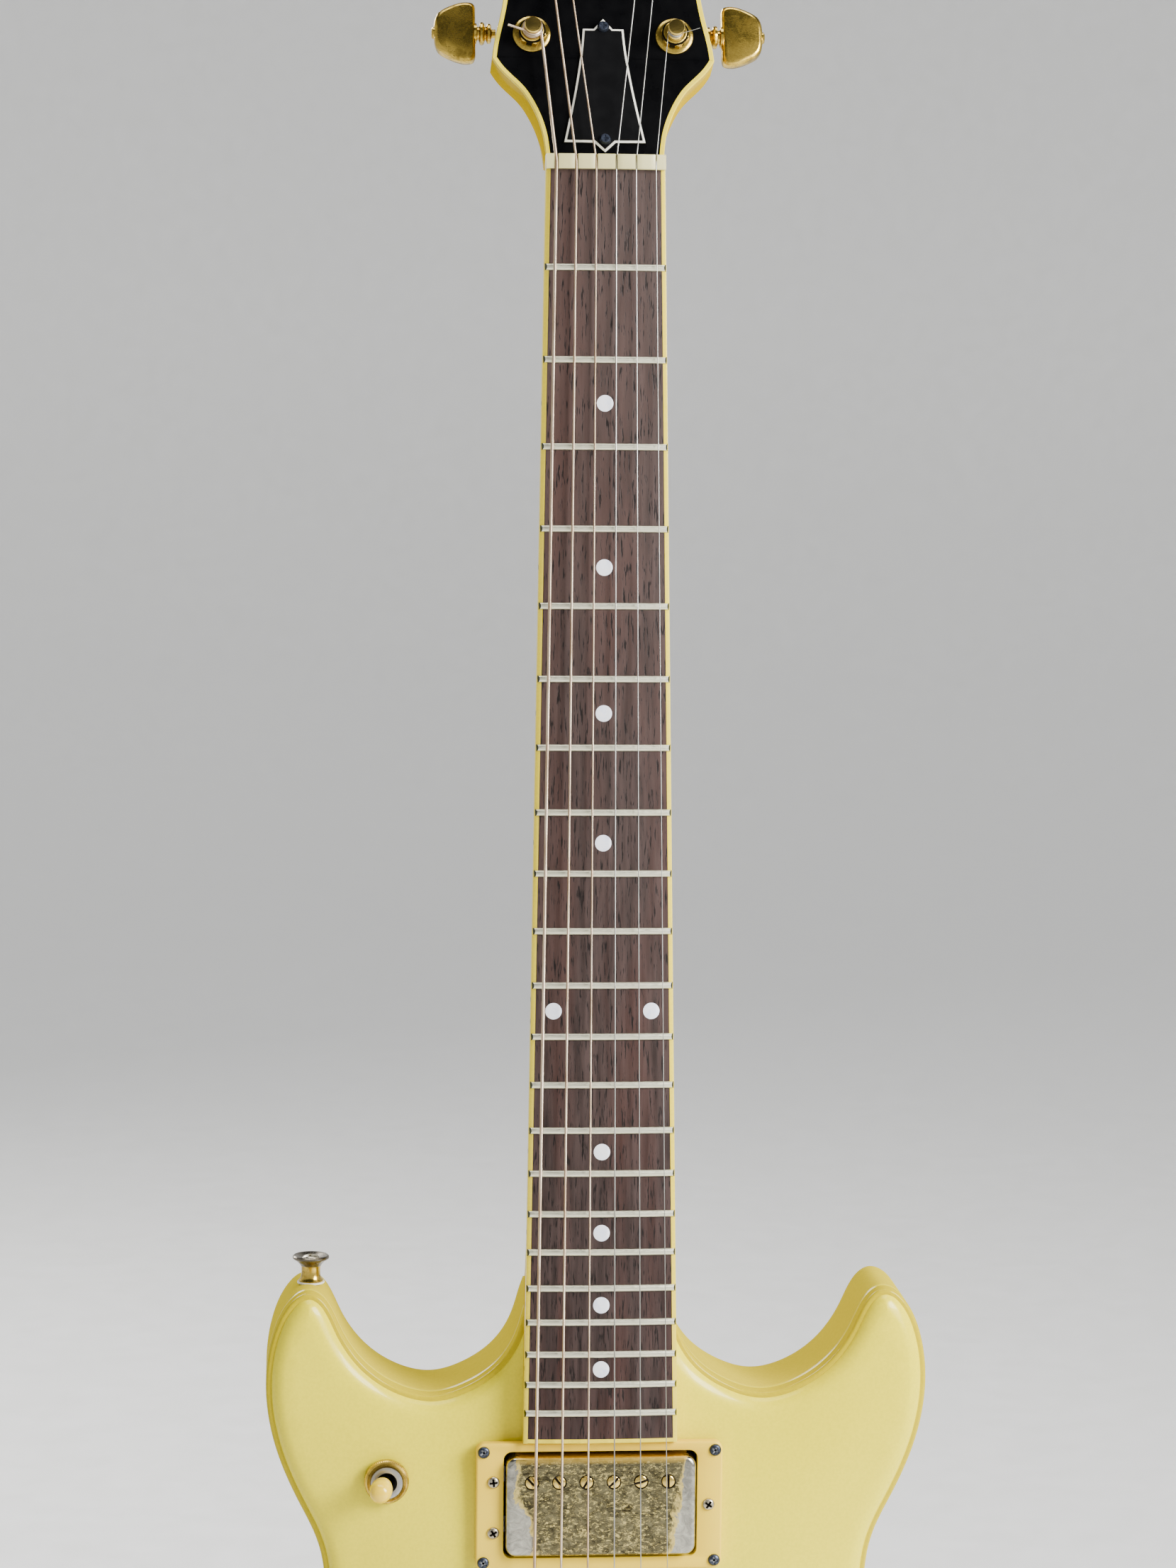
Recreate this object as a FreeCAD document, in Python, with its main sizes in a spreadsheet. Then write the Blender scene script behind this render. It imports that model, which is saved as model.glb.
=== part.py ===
import FreeCAD, Part

# Double-cutaway electric guitar, standing upright: +Z runs up the neck, the front faces -Y and the
# treble side is +X. The origin is the seat of the end strap button, at the bottom of the body.
# Every exported sub-part is one node; lengths are millimetres.

import math
import os
from FreeCAD import Placement, Rotation, Vector

DIMENSIONS = [
    ("scale_length", 628.0), ("fret_count", 22), ("neck_angle", 3.83), ("head_angle", 14.0),
    ("board_front", -34.23), ("board_z", 366.0), ("half_nut_width", 21.63), ("half_board_width", 28.11),
    ("board_thickness", 6.0), ("board_radius", 305.0), ("board_overhang", 11.2), ("edge_binding", 1.6),
    ("fret_width", 2.5), ("fret_rise", 1.15), ("tang_width", 0.6), ("tang_depth", 2.0), ("dot_radius", 3.0),
    ("dot_depth", 1.5), ("nut_thickness", 5.3), ("nut_rise", 2.3), ("string_rise", 1.6),
    ("body_depth", 41.0), ("arch_rise", 7.0), ("binding_depth", 6.0), ("binding_width", 2.2),
    ("head_depth", 14.0), ("veneer", 1.2), ("head_face_drop", 5.0), ("head_binding", 1.7),
    ("shaft_depth_nut", 14.5), ("shaft_depth_body", 18.0), ("tenon_depth", 34.0),
    ("rod_radius", 2.5), ("rod_bore", 3.1), ("post_radius", 3.1), ("post_bore", 3.2), ("bushing_radius", 4.7),
    ("bushing_bore", 4.8), ("washer_radius", 7.0), ("washer_thickness", 1.4), ("hex_radius", 5.5),
    ("hex_thickness", 2.4), ("gear_radius", 6.1), ("gear_height", 3.0), ("worm_radius", 2.0),
    ("worm_bore", 2.1), ("button_width", 15.4), ("button_height", 23.4), ("button_thickness", 6.0),
    ("ring_width", 90.5), ("ring_height", 47.8), ("neck_ring_thickness", 4.0), ("bridge_ring_thickness", 9.0),
    ("cover_width", 69.6), ("cover_height", 37.0), ("cover_depth", 12.0), ("pole_radius", 2.45),
    ("bridge_z", 190.0), ("bridge_length", 91.0), ("bridge_width", 15.0), ("bridge_depth", 10.0),
    ("bridge_half_span", 37.0), ("tail_z", 149.0), ("tail_length", 102.0), ("tail_width", 15.5),
    ("tail_depth", 12.0), ("tail_half_span", 41.0), ("saddle_width", 7.6), ("saddle_length", 5.0),
    ("knob_radius", 12.0), ("knob_height", 14.5), ("shaft_radius", 3.0), ("shaft_bore", 3.1),
    ("can_radius", 12.0), ("can_height", 8.0), ("cavity_depth", 39.0), ("back_cover", 2.0),
    ("jack_bore", 3.2), ("jack_radius", 4.7), ("switch_nut_radius", 8.2), ("switch_radius", 5.85),
    ("tip_radius", 4.15), ("strap_head_radius", 6.8), ("strap_height", 10.5), ("screw_radius", 1.5),
]

doc = FreeCAD.newDocument("electric_guitar")
sheet = doc.addObject("Spreadsheet::Sheet", "Dimensions")
for row, (alias, value) in enumerate(DIMENSIONS, start=1):
    sheet.set("A%d" % row, alias)
    sheet.set("B%d" % row, str(value))
    sheet.setAlias("B%d" % row, alias)
doc.recompute()

UP = Vector(0, 0, 1)
DOWN = Vector(0, 0, -1)
RIGHT = Vector(1, 0, 0)
FRONT = Vector(0, -1, 0)
BACK = Vector(0, 1, 0)
nodes = {}


# ---------------------------------------------------------------------------------------- helpers

def size(value):
    """A length: a number as it is, or the cell that a name stands for."""
    if isinstance(value, str):
        return float(sheet.get(value))
    return float(value)


def bind(item, name, value):
    """Ties a property to its cell, or sets a fixed number."""
    if isinstance(value, str):
        item.setExpression(name, "Dimensions." + value)
    else:
        setattr(item, name, value)


def aim(direction):
    return Rotation(UP, direction)


def block(name, sizes, centre):
    """A box of three sizes about its centre."""
    item = doc.addObject("Part::Box", name)
    for side, value in zip(("Length", "Width", "Height"), sizes):
        bind(item, side, value)
    half = Vector(*[size(value) / 2 for value in sizes])
    item.Placement.Base = Vector(centre) - half
    return item


def rod(name, radius, length, start, direction):
    """A cylinder from its start along a direction."""
    item = doc.addObject("Part::Cylinder", name)
    bind(item, "Radius", radius)
    bind(item, "Height", length)
    item.Placement = Placement(Vector(start), aim(direction))
    return item


def taper(name, radius, far_radius, length, start, direction):
    """A cone frustum from its start along a direction."""
    item = doc.addObject("Part::Cone", name)
    bind(item, "Radius1", radius)
    bind(item, "Radius2", far_radius)
    bind(item, "Height", length)
    item.Placement = Placement(Vector(start), aim(direction))
    return item


def hexagon(name, radius, length, start, direction):
    """A six-sided prism; the radius runs to its corners."""
    item = doc.addObject("Part::Prism", name)
    item.Polygon = 6
    bind(item, "Circumradius", radius)
    bind(item, "Height", length)
    item.Placement = Placement(Vector(start), aim(direction))
    return item


def join(name, items):
    item = doc.addObject("Part::MultiFuse", name)
    item.Shapes = items
    return item


def group(name, items):
    item = doc.addObject("Part::Compound", name)
    item.Links = items
    return item


def cut(name, base, tools):
    item = doc.addObject("Part::Cut", name)
    item.Base = base
    item.Tool = tools[0] if len(tools) == 1 else join(name + "_tools", tools)
    return item


def overlap(name, base, tool):
    item = doc.addObject("Part::Common", name)
    item.Base = base
    item.Tool = tool
    return item


def new_body(name):
    return doc.addObject("PartDesign::Body", name)


def sketch_in(body, name, role, offset=0.0):
    """A sketch on one of a body's origin planes, moved along the plane's normal."""
    plane = [item for item in body.Origin.OriginFeatures if item.Role == role][0]
    sketch = body.newObject("Sketcher::SketchObject", name)
    sketch.AttachmentSupport = [(plane, "")]
    sketch.MapMode = "FlatFace"
    sketch.AttachmentOffset = Placement(Vector(0, 0, offset), Rotation())
    return sketch


def add_polygon(sketch, points):
    corners = [Vector(across, along, 0) for across, along in points]
    for first, second in zip(corners, corners[1:] + corners[:1]):
        sketch.addGeometry(Part.LineSegment(first, second), False)


def add_rounded_rectangle(sketch, width, height, radius, centre=(0.0, 0.0)):
    """Four straight sides joined by quarter circles."""
    across, along = width / 2 - radius, height / 2 - radius
    for turn, (sx, sy) in enumerate(((1, 1), (-1, 1), (-1, -1), (1, -1))):
        middle = Vector(centre[0] + sx * across, centre[1] + sy * along, 0)
        start = math.radians(90 * turn)
        circle = Part.Circle(middle, UP, radius)
        sketch.addGeometry(Part.ArcOfCircle(circle, start, start + math.pi / 2), False)
    left, right = centre[0] - across, centre[0] + across
    low, high = centre[1] - along, centre[1] + along
    for side in (high + radius, low - radius):
        sketch.addGeometry(Part.LineSegment(Vector(right, side, 0), Vector(left, side, 0)))
    for side in (right + radius, left - radius):
        sketch.addGeometry(Part.LineSegment(Vector(side, low, 0), Vector(side, high, 0)))


def pad(body, sketch, length, name):
    item = body.newObject("PartDesign::Pad", name)
    item.Profile = sketch
    bind(item, "Length", length)
    return item


def plate(name, width, height, radius, thickness, centre, front_y):
    """A plate with rounded corners, parallel to the front, from front_y towards the back."""
    body = new_body(name)
    sketch = sketch_in(body, name + "_outline", "XZ_Plane")
    add_rounded_rectangle(sketch, size(width), size(height), radius)
    pad(body, sketch, thickness, name + "_pad")
    body.Placement = Placement(Vector(centre[0], front_y + size(thickness), centre[1]), Rotation())
    return body


def turned(name, profile, start, direction):
    """A solid of revolution: the profile is (radius, height) corners, turned about its axis."""
    body = new_body(name)
    sketch = sketch_in(body, name + "_profile", "XZ_Plane")
    add_polygon(sketch, profile)
    item = body.newObject("PartDesign::Revolution", name + "_turn")
    item.Profile = sketch
    item.ReferenceAxis = (sketch, ["V_Axis"])
    item.Angle = 360
    body.Placement = Placement(Vector(start), aim(direction))
    return body


SPANS_EACH = 4


def prism_sketch(name, points, depth_y):
    """A closed outline in the plane y = depth_y: a spline through the points, closed by a line.

    The spline is stored as short stretches, so that each side face stays simple.
    """
    sketch = doc.addObject("Sketcher::SketchObject", name)
    sketch.Placement = Placement(Vector(0, depth_y, 0), Rotation(RIGHT, 90))
    corners = [Vector(across, along, 0) for across, along in points]
    curve = Part.BSplineCurve()
    curve.interpolate(corners)
    breaks = [curve.parameter(corner) for corner in corners[:-1:SPANS_EACH]] + [curve.LastParameter]
    for first, last in zip(breaks, breaks[1:]):
        stretch = curve.copy()
        stretch.segment(first, last)
        sketch.addGeometry(stretch, False)
    sketch.addGeometry(Part.LineSegment(corners[-1], corners[0]), False)
    return sketch


def loft(name, sections):
    item = doc.addObject("Part::Loft", name)
    item.Sections = sections
    item.Solid = True
    item.Ruled = True
    return item


def keep(item, name, placement=None):
    """Registers a finished sub-part under its node name."""
    if placement is not None:
        item.Placement = placement.multiply(item.Placement)
    item.Label = name
    nodes[name] = item
    return item


# ------------------------------------------------------------------------------- shared positions

NECK = Placement(Vector(0, size("board_front"), size("board_z")), Rotation(RIGHT, -size("neck_angle")))
FRET_22 = size("scale_length") * (1 - 2 ** (-size("fret_count") / 12))
NUT_BACK = FRET_22 + size("nut_thickness")
HEAD_ORIGIN = Placement(Vector(0, size("head_face_drop"), NUT_BACK), Rotation(RIGHT, -size("head_angle")))
HEAD = NECK.multiply(HEAD_ORIGIN)
BACK_Y = size("body_depth") / 2
RIM_Y = -BACK_Y
SEAM_Y = RIM_Y + size("binding_depth")
TOP_Y = RIM_Y - size("arch_rise")
SWITCH = (-77.9, 339.7)
KNOBS = ((76.0, 146.0), (113.0, 124.0), (76.0, 100.0), (110.0, 78.0))
JACK_Z = 100.0
JACK_FLAT_X = 162.9
NECK_PICKUP_Z = 330.3
BRIDGE_PICKUP_Z = 236.0
CONTROL_CAVITY = (94.0, 112.0, 92.0, 112.0)
TUNER_ROWS = ((26.1, 46.6), (23.4, 84.4), (21.8, 122.2))
STRING_RADII = (0.61, 0.47, 0.36, 0.24, 0.19, 0.15)
SADDLE_SHIFTS = (-2.0, -1.4, -0.4, -1.0, -0.2, 0.6)


def distance_to_fret(number):
    """Distance from the nut's front face to a fret."""
    return size("scale_length") * (1 - 2 ** (-number / 12))


def half_width(up_neck):
    """Half the fingerboard's width at a place up the neck, measured from the last fret."""
    grown = size("half_board_width") - size("half_nut_width")
    return size("half_board_width") - grown * up_neck / FRET_22


# ------------------------------------------------------------------------------------------- body

HALF_OUTLINE = [
    (25.8, 405.4), (27.4, 400.8), (28.9, 395.6), (31.6, 388.6), (37.2, 380.7), (48.7, 372.8),
    (60.6, 369.6), (72.0, 371.9), (85.3, 380.6), (94.3, 393.3), (98.6, 402.2), (101.6, 406.0),
    (105.5, 408.0), (109.6, 407.2), (113.6, 403.8), (119.5, 391.8), (122.0, 372.0), (118.7, 351.5),
    (110.2, 330.5), (102.8, 314.3), (100.2, 294.0), (103.8, 264.0), (115.0, 231.0), (133.0, 195.0),
    (151.0, 158.0), (162.0, 124.0), (164.0, 98.0), (158.5, 66.0), (143.0, 37.0), (116.0, 16.0),
    (80.0, 4.6), (40.0, 1.1),
]
OUTLINE_CENTRE = (0.0, 190.0)


def full_outline():
    mirrored = [(-across, along) for across, along in reversed(HALF_OUTLINE)]
    return HALF_OUTLINE + [(0.0, 0.0)] + mirrored


def inset(points, distance):
    """The outline moved inwards along its normals."""
    curve = Part.BSplineCurve()
    curve.interpolate([Vector(across, along, 0) for across, along in points])
    moved = []
    for across, along in points:
        parameter = curve.parameter(Vector(across, along, 0))
        tangent = curve.tangent(parameter)[0]
        moved.append((across + tangent.y * distance, along - tangent.x * distance))
    return moved


def shrunk(points, factor):
    middle_x, middle_z = OUTLINE_CENTRE
    return [(middle_x + (a - middle_x) * factor, middle_z + (z - middle_z) * factor) for a, z in points]


outline = full_outline()
inner = inset(outline, size("binding_width"))
lower_sections = [
    prism_sketch("back_face_outline", shrunk(outline, 0.972), BACK_Y),
    prism_sketch("back_edge_outline", outline, BACK_Y - 4.0),
    prism_sketch("seam_outline", outline, SEAM_Y),
]
lower_block = loft("lower_block", lower_sections)
upper_sections = [
    prism_sketch("inner_seam_outline", inner, SEAM_Y),
    prism_sketch("inner_rim_outline", inner, RIM_Y),
    prism_sketch("arch_outline_1", shrunk(inner, 0.965), RIM_Y - 2.9),
    prism_sketch("arch_outline_2", shrunk(inner, 0.90), RIM_Y - 5.4),
    prism_sketch("arch_outline_3", shrunk(inner, 0.76), TOP_Y),
]
upper_block = loft("upper_block", upper_sections)
body_block = join("body_block", [lower_block, upper_block])

binding_outer = loft("binding_outer", [
    prism_sketch("binding_seam_outline", outline, SEAM_Y),
    prism_sketch("binding_rim_outline", outline, RIM_Y),
])
binding_inner = loft("binding_inner", [
    prism_sketch("binding_inner_low", inner, SEAM_Y + 0.01),
    prism_sketch("binding_inner_high", inner, RIM_Y - 0.01),
])
binding_ring = cut("binding_ring", binding_outer, [binding_inner])

HEEL_TOP = 41.5


def neck_envelope(name, gap):
    """The heel block and tenon, made a little larger all round by the gap for the body's pocket."""
    cheek_half = size("half_board_width") - 0.6
    cheek_length = HEEL_TOP + size("board_overhang")
    cheek_centre = Vector(0, size("board_thickness") + 9 + gap / 2, HEEL_TOP - cheek_length / 2)
    tall = cheek_length + 2 * gap
    cheek = block(name + "_cheek", (2 * (cheek_half + gap), 18 + gap, tall), cheek_centre)
    deep = size("tenon_depth")
    tenon_centre = Vector(0, size("board_thickness") + deep / 2 + gap / 2, cheek_centre.z)
    tenon = block(name + "_tenon", (40 + 2 * gap, deep + gap, tall), tenon_centre)
    return join(name, [cheek, tenon])


neck_pocket = neck_envelope("neck_pocket", 0.03)
neck_pocket.Placement = NECK

control_x, control_z, control_w, control_h = CONTROL_CAVITY
cavity_floor = BACK_Y - size("cavity_depth")
control_pocket = plate("control_pocket", control_w, control_h, 12.0, "cavity_depth",
                       (control_x, control_z), cavity_floor)
control_ledge = plate("control_ledge", control_w + 12, control_h + 12, 16.0, "back_cover",
                      (control_x, control_z), BACK_Y - size("back_cover"))
switch_pocket = rod("switch_pocket", 20.0, "cavity_depth", (SWITCH[0], cavity_floor, SWITCH[1]), BACK)
switch_ledge_seat = (SWITCH[0], BACK_Y - size("back_cover"), SWITCH[1])
switch_ledge = rod("switch_ledge", 26.0, "back_cover", switch_ledge_seat, BACK)


def pickup_pocket(name, middle_z):
    """The square routing under a pickup, with slots at both ends for its height screws."""
    well = block(name + "_well", (73.0, 24.0, 42.0), (0, TOP_Y + 11.9, middle_z))
    legs = block(name + "_legs", (86.0, 30.0, 30.0), (0, TOP_Y + 14.9, middle_z))
    return join(name, [well, legs])


neck_pickup_pocket = pickup_pocket("neck_pickup_pocket", NECK_PICKUP_Z)
bridge_pickup_pocket = pickup_pocket("bridge_pickup_pocket", BRIDGE_PICKUP_Z)

WIRE_RUNS = (
    (Vector(-63.5, -8, SWITCH[1]), Vector(-36, -8, NECK_PICKUP_Z + 8)),
    (Vector(22, -6, NECK_PICKUP_Z - 16), Vector(22, -6, BRIDGE_PICKUP_Z + 16)),
    (Vector(36, -6, BRIDGE_PICKUP_Z - 16), Vector(62, -6, 160)),
)


def along_run(name, radius, run, shorter):
    """A cylinder along a wire run, with the same length taken off both ends."""
    first, last = run
    direction = (last - first).normalize()
    length = (last - first).Length - 2 * shorter
    return rod(name, radius, length, first + direction * shorter, direction)


wire_channels = [along_run("wire_channel_%d" % n, 4.0, run, -6.0) for n, run in enumerate(WIRE_RUNS)]
pot_holes = [rod("pot_hole_%d" % n, 4.85, 20.0, (x, TOP_Y - 5, z), BACK) for n, (x, z) in enumerate(KNOBS)]
switch_hole = rod("switch_hole", "switch_radius", 22.0, (SWITCH[0], TOP_Y - 5, SWITCH[1]), BACK)
stud_places = []
for sign in (-1, 1):
    stud_places.append((sign * size("bridge_half_span"), size("bridge_z")))
    stud_places.append((sign * size("tail_half_span"), size("tail_z")))
stud_holes = [rod("stud_hole_%d" % n, 5.5, 24.0, (x, TOP_Y - 1, z), BACK)
              for n, (x, z) in enumerate(stud_places)]
jack_hole = rod("jack_hole", 10.0, 40.0, (JACK_FLAT_X + 3, 0, JACK_Z), Vector(-1, 0, 0))
jack_flat = block("jack_flat", (12.0, 30.0, 42.0), (JACK_FLAT_X + 6, 0, JACK_Z))

HORN_TIP = (-105.5, 408.0)
STRAP_SEATS = ((Vector(HORN_TIP[0], 0, HORN_TIP[1] - 0.6), UP), (Vector(0, 0, 0), DOWN))
STRAP_SCREW = 18.0
strap_holes = []
for n, (seat, outward) in enumerate(STRAP_SEATS):
    bottom = seat - outward * STRAP_SCREW
    strap_holes.append(rod("strap_hole_%d" % n, "screw_radius", STRAP_SCREW, bottom, outward))
horn_flat = rod("horn_flat", 5.2, 6.0, STRAP_SEATS[0][0], UP)

RING_SCREWS = [(sx * 42.5, sz * 20.7) for sx in (-1, 1) for sz in (-1, 1)]
HEIGHT_SCREWS = ((-38.9, 9.5), (-38.9, -9.5), (40.2, 0.3))
PICKUPS = ((NECK_PICKUP_Z, "neck_ring_thickness"), (BRIDGE_PICKUP_Z, "bridge_ring_thickness"))
ring_screw_holes = []
for place, (middle_z, thickness) in enumerate(PICKUPS):
    for n, (dx, dz) in enumerate(RING_SCREWS):
        start = (dx, TOP_Y - 0.5, middle_z + dz)
        ring_screw_holes.append(rod("ring_screw_hole_%d_%d" % (place, n), "screw_radius", 12.5, start, BACK))

CONTROL_SCREWS = [(control_x + sx * 44.5, control_z + sz * 54.5) for sx in (-1, 1) for sz in (-1, 1)]
SWITCH_SCREWS = [(SWITCH[0] + 23 * math.cos(angle), SWITCH[1] + 23 * math.sin(angle))
                 for angle in (math.radians(90), math.radians(210), math.radians(330))]
back_screw_holes = []
for n, (x, z) in enumerate(CONTROL_SCREWS + SWITCH_SCREWS):
    back_screw_holes.append(rod("back_screw_hole_%d" % n, "screw_radius", 10.0, (x, BACK_Y + 0.5, z), FRONT))
JACK_SCREWS = (-16.0, 16.0)
jack_screw_holes = []
for n, dz in enumerate(JACK_SCREWS):
    start = (JACK_FLAT_X + 1, 0, JACK_Z + dz)
    jack_screw_holes.append(rod("jack_screw_hole_%d" % n, "screw_radius", 12.0, start, Vector(-1, 0, 0)))

body_tools = [neck_pocket, control_pocket, control_ledge, switch_pocket, switch_ledge, neck_pickup_pocket,
              bridge_pickup_pocket, switch_hole, jack_hole, jack_flat, horn_flat]
body_tools += wire_channels + pot_holes + stud_holes + strap_holes
body_tools += ring_screw_holes + back_screw_holes + jack_screw_holes
keep(cut("body_wood", body_block, body_tools), "body_wood")

binding_pocket = neck_envelope("binding_pocket", 0.03)
binding_pocket.Placement = NECK
keep(cut("body_binding", binding_ring, [binding_pocket]), "body_binding")


# ------------------------------------------------------------------------------------------- neck

def shaft_section(name, up_neck, depth):
    """A D section: flat under the fingerboard, half an ellipse behind."""
    sketch = doc.addObject("Sketcher::SketchObject", name)
    sketch.Placement = Placement(Vector(0, size("board_thickness"), up_neck), Rotation())
    half = half_width(up_neck)
    centre = Vector(0, 0, 0)
    side, back = Vector(half, 0, 0), Vector(0, size(depth), 0)
    if size(depth) > half:
        ellipse = Part.Ellipse(back, side, centre)
        arc = Part.ArcOfEllipse(ellipse, -math.pi / 2, math.pi / 2)
    else:
        ellipse = Part.Ellipse(side, back, centre)
        arc = Part.ArcOfEllipse(ellipse, 0, math.pi)
    sketch.addGeometry(arc, False)
    sketch.addGeometry(Part.LineSegment(-side, side), False)
    return sketch


shaft = loft("neck_shaft", [
    shaft_section("shaft_heel", HEEL_TOP - 0.5, "shaft_depth_body"),
    shaft_section("shaft_start", 66.0, "shaft_depth_body"),
    shaft_section("shaft_end", NUT_BACK, "shaft_depth_nut"),
])
heel = loft("neck_heel", [
    shaft_section("heel_bottom", HEEL_TOP - 0.5, 27.0),
    shaft_section("heel_top", 64.0, 17.0),
])

HEAD_OUTLINE = [
    (21.5, 0.0), (22.5, 8.0), (24.2, 14.0), (26.7, 19.7), (30.3, 25.4), (34.8, 30.0), (39.3, 34.8),
    (40.8, 37.6), (40.3, 41.5), (38.8, 48.0), (37.3, 54.7), (36.2, 61.0), (34.9, 75.0), (34.1, 95.0),
    (34.3, 115.0), (35.6, 131.0), (37.6, 144.0), (30.0, 148.6), (20.0, 148.4), (9.0, 151.0), (0.0, 156.0),
]


FACE_START = 0.35


def head_outline(narrower, start=0.0):
    """The headstock's outline from a start by the nut, its side edges moved in by a margin."""
    points = []
    for across, along in HEAD_OUTLINE:
        top_margin = narrower if along > 140 else 0.0
        points.append((max(across - narrower, 0.0), max(along - top_margin, start)))
    mirrored = [(-across, along) for across, along in reversed(points[:-1])]
    return points + mirrored


def head_plate(name, points, front, thickness):
    """A flat layer of the headstock, from its front depth towards the back."""
    body = new_body(name)
    sketch = sketch_in(body, name + "_outline", "XZ_Plane")
    add_polygon(sketch, points)
    pad(body, sketch, thickness, name + "_pad")
    body.Placement = Placement(Vector(0, front + size(thickness), 0), Rotation())
    return body


TRUSS_POCKET = (9.0, 9.0, 34.0)
TRUSS_POCKET_Z = 9.0 + TRUSS_POCKET[2] / 2
COVER_SCREWS = (5.9, 49.4)
COVER_SCREW_TIP = 3.0
head_block = head_plate("head_block", head_outline(0.0), size("veneer"), "head_depth")
head_block.Placement = HEAD_ORIGIN.multiply(head_block.Placement)
neck_core = neck_envelope("neck_core", 0.0)
neck_solid = join("neck_solid", [neck_core, shaft, heel, head_block])
ROD_DEPTH = size("board_thickness") + 7.0
ROD_START, ROD_END = 6.0, NUT_BACK + 20.0
rod_channel = rod("rod_channel", "rod_bore", ROD_END - ROD_START, (0, ROD_DEPTH, ROD_START), UP)
truss_pocket = block("truss_pocket", TRUSS_POCKET, (0, TRUSS_POCKET[1] / 2, TRUSS_POCKET_Z))
truss_pocket.Placement = HEAD_ORIGIN.multiply(truss_pocket.Placement)


def tuner_places():
    """Every tuner: its side's name, the side's sign, its number up the side, and its post's place."""
    for side_name, sign in (("bass", -1), ("treble", 1)):
        for number, (across, along) in enumerate(TUNER_ROWS, start=1):
            yield side_name, sign, number, sign * across, along


post_holes = []
for side_name, sign, number, x, z in tuner_places():
    hole = rod("post_hole_%s_%d" % (side_name, number), "bushing_bore", 30.0, (x, -5, z), BACK)
    hole.Placement = HEAD_ORIGIN.multiply(hole.Placement)
    post_holes.append(hole)


def cover_screw_holes(name, length):
    """Holes for the truss-rod cover's two screws, from in front of the headstock's face."""
    return [rod("%s_%d" % (name, n), "screw_radius", length, (0, -3, z), BACK)
            for n, z in enumerate(COVER_SCREWS)]


pilot_holes = cover_screw_holes("cover_pilot", 3 + COVER_SCREW_TIP + 0.2)
for hole in pilot_holes:
    hole.Placement = HEAD_ORIGIN.multiply(hole.Placement)
keep(cut("neck_wood", neck_solid, [rod_channel, truss_pocket] + post_holes + pilot_holes), "neck_wood", NECK)

veneer_full = head_plate("veneer_full", head_outline(size("head_binding"), FACE_START), 0.0, "veneer")
veneer_holes = [rod("veneer_hole_%s_%d" % (side, number), "bushing_bore", 5.0, (x, -2, z), BACK)
                for side, sign, number, x, z in tuner_places()]
veneer_slot = block("veneer_slot", (TRUSS_POCKET[0], 5.0, TRUSS_POCKET[2]), (0, 0, TRUSS_POCKET_Z))
veneer_tools = [veneer_slot] + veneer_holes + cover_screw_holes("veneer_screw_hole", 6.0)
keep(cut("headstock_veneer", veneer_full, veneer_tools), "headstock_veneer", HEAD)
head_edge = head_plate("head_edge", head_outline(0.0, FACE_START), 0.0, "veneer")
veneer_space = head_plate("veneer_space", head_outline(size("head_binding")), -0.1, 1.4)
keep(cut("headstock_binding", head_edge, [veneer_space]), "headstock_binding", HEAD)

truss_bar = rod("truss_bar", "rod_radius", ROD_END - ROD_START - 10, (0, ROD_DEPTH, ROD_START + 1), UP)
truss_nut = hexagon("truss_nut", 3.0, 9.0, (0, ROD_DEPTH, ROD_END - 11), UP)
keep(join("truss_rod", [truss_bar, truss_nut]), "truss_rod", NECK)

COVER_OUTLINE = [
    (0.0, 53.2), (3.6, 49.1), (7.7, 49.1), (8.3, 42.0), (9.4, 34.0), (10.8, 25.7), (12.6, 16.5), (15.1, 4.7),
    (4.0, 4.6), (0.0, 0.8),
]
cover_points = COVER_OUTLINE + [(-across, along) for across, along in reversed(COVER_OUTLINE[1:-1])]
cover_plate = head_plate("cover_plate", cover_points, -1.6, 1.55)
keep(cut("truss_cover", cover_plate, cover_screw_holes("cover_hole", 4.0)), "truss_cover", HEAD)

# -------------------------------------------------------------------------------------- fingerboard

BOARD_START = -size("board_overhang")


def board_wedge(name, narrower, low, high_extra):
    """A tapered slab as wide as the fingerboard, less a margin on each side."""
    body = new_body(name)
    sketch = sketch_in(body, name + "_outline", "XZ_Plane")
    start, end = BOARD_START + low, FRET_22 + high_extra
    first, last = half_width(start) - narrower, half_width(end) - narrower
    add_polygon(sketch, [(-first, start), (first, start), (last, end), (-last, end)])
    pad(body, sketch, "board_thickness", name + "_pad")
    body.Placement = Placement(Vector(0, size("board_thickness"), 0), Rotation())
    return body


def crown(name, rise, start=BOARD_START - 5, length=480.0):
    """A long cylinder whose front is the fingerboard's curved surface, raised or lowered."""
    radius = size("board_radius")
    return rod(name, radius + rise, length, (0, radius, start), UP)


EDGE = size("edge_binding")
board_core = board_wedge("board_core", EDGE, EDGE, 0.0)
board_full = board_wedge("board_full", 0.0, 0.0, 0.0)
DOT_FRETS = (3, 5, 7, 9, 12, 15, 17, 19, 21)


def dot_place(fret):
    """Halfway between a fret and the one before it, measured from the last fret."""
    return FRET_22 - (distance_to_fret(fret) + distance_to_fret(fret - 1)) / 2


def dot_rods(name, start_y, length):
    """One rod at each marker; the octave has a pair."""
    rods = []
    for fret in DOT_FRETS:
        offsets = (-17.8, 17.8) if fret == 12 else (0.0,)
        for n, across in enumerate(offsets):
            start = (across, start_y, dot_place(fret))
            rods.append(rod("%s_%d_%d" % (name, fret, n), "dot_radius", length, start, BACK))
    return rods


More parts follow.
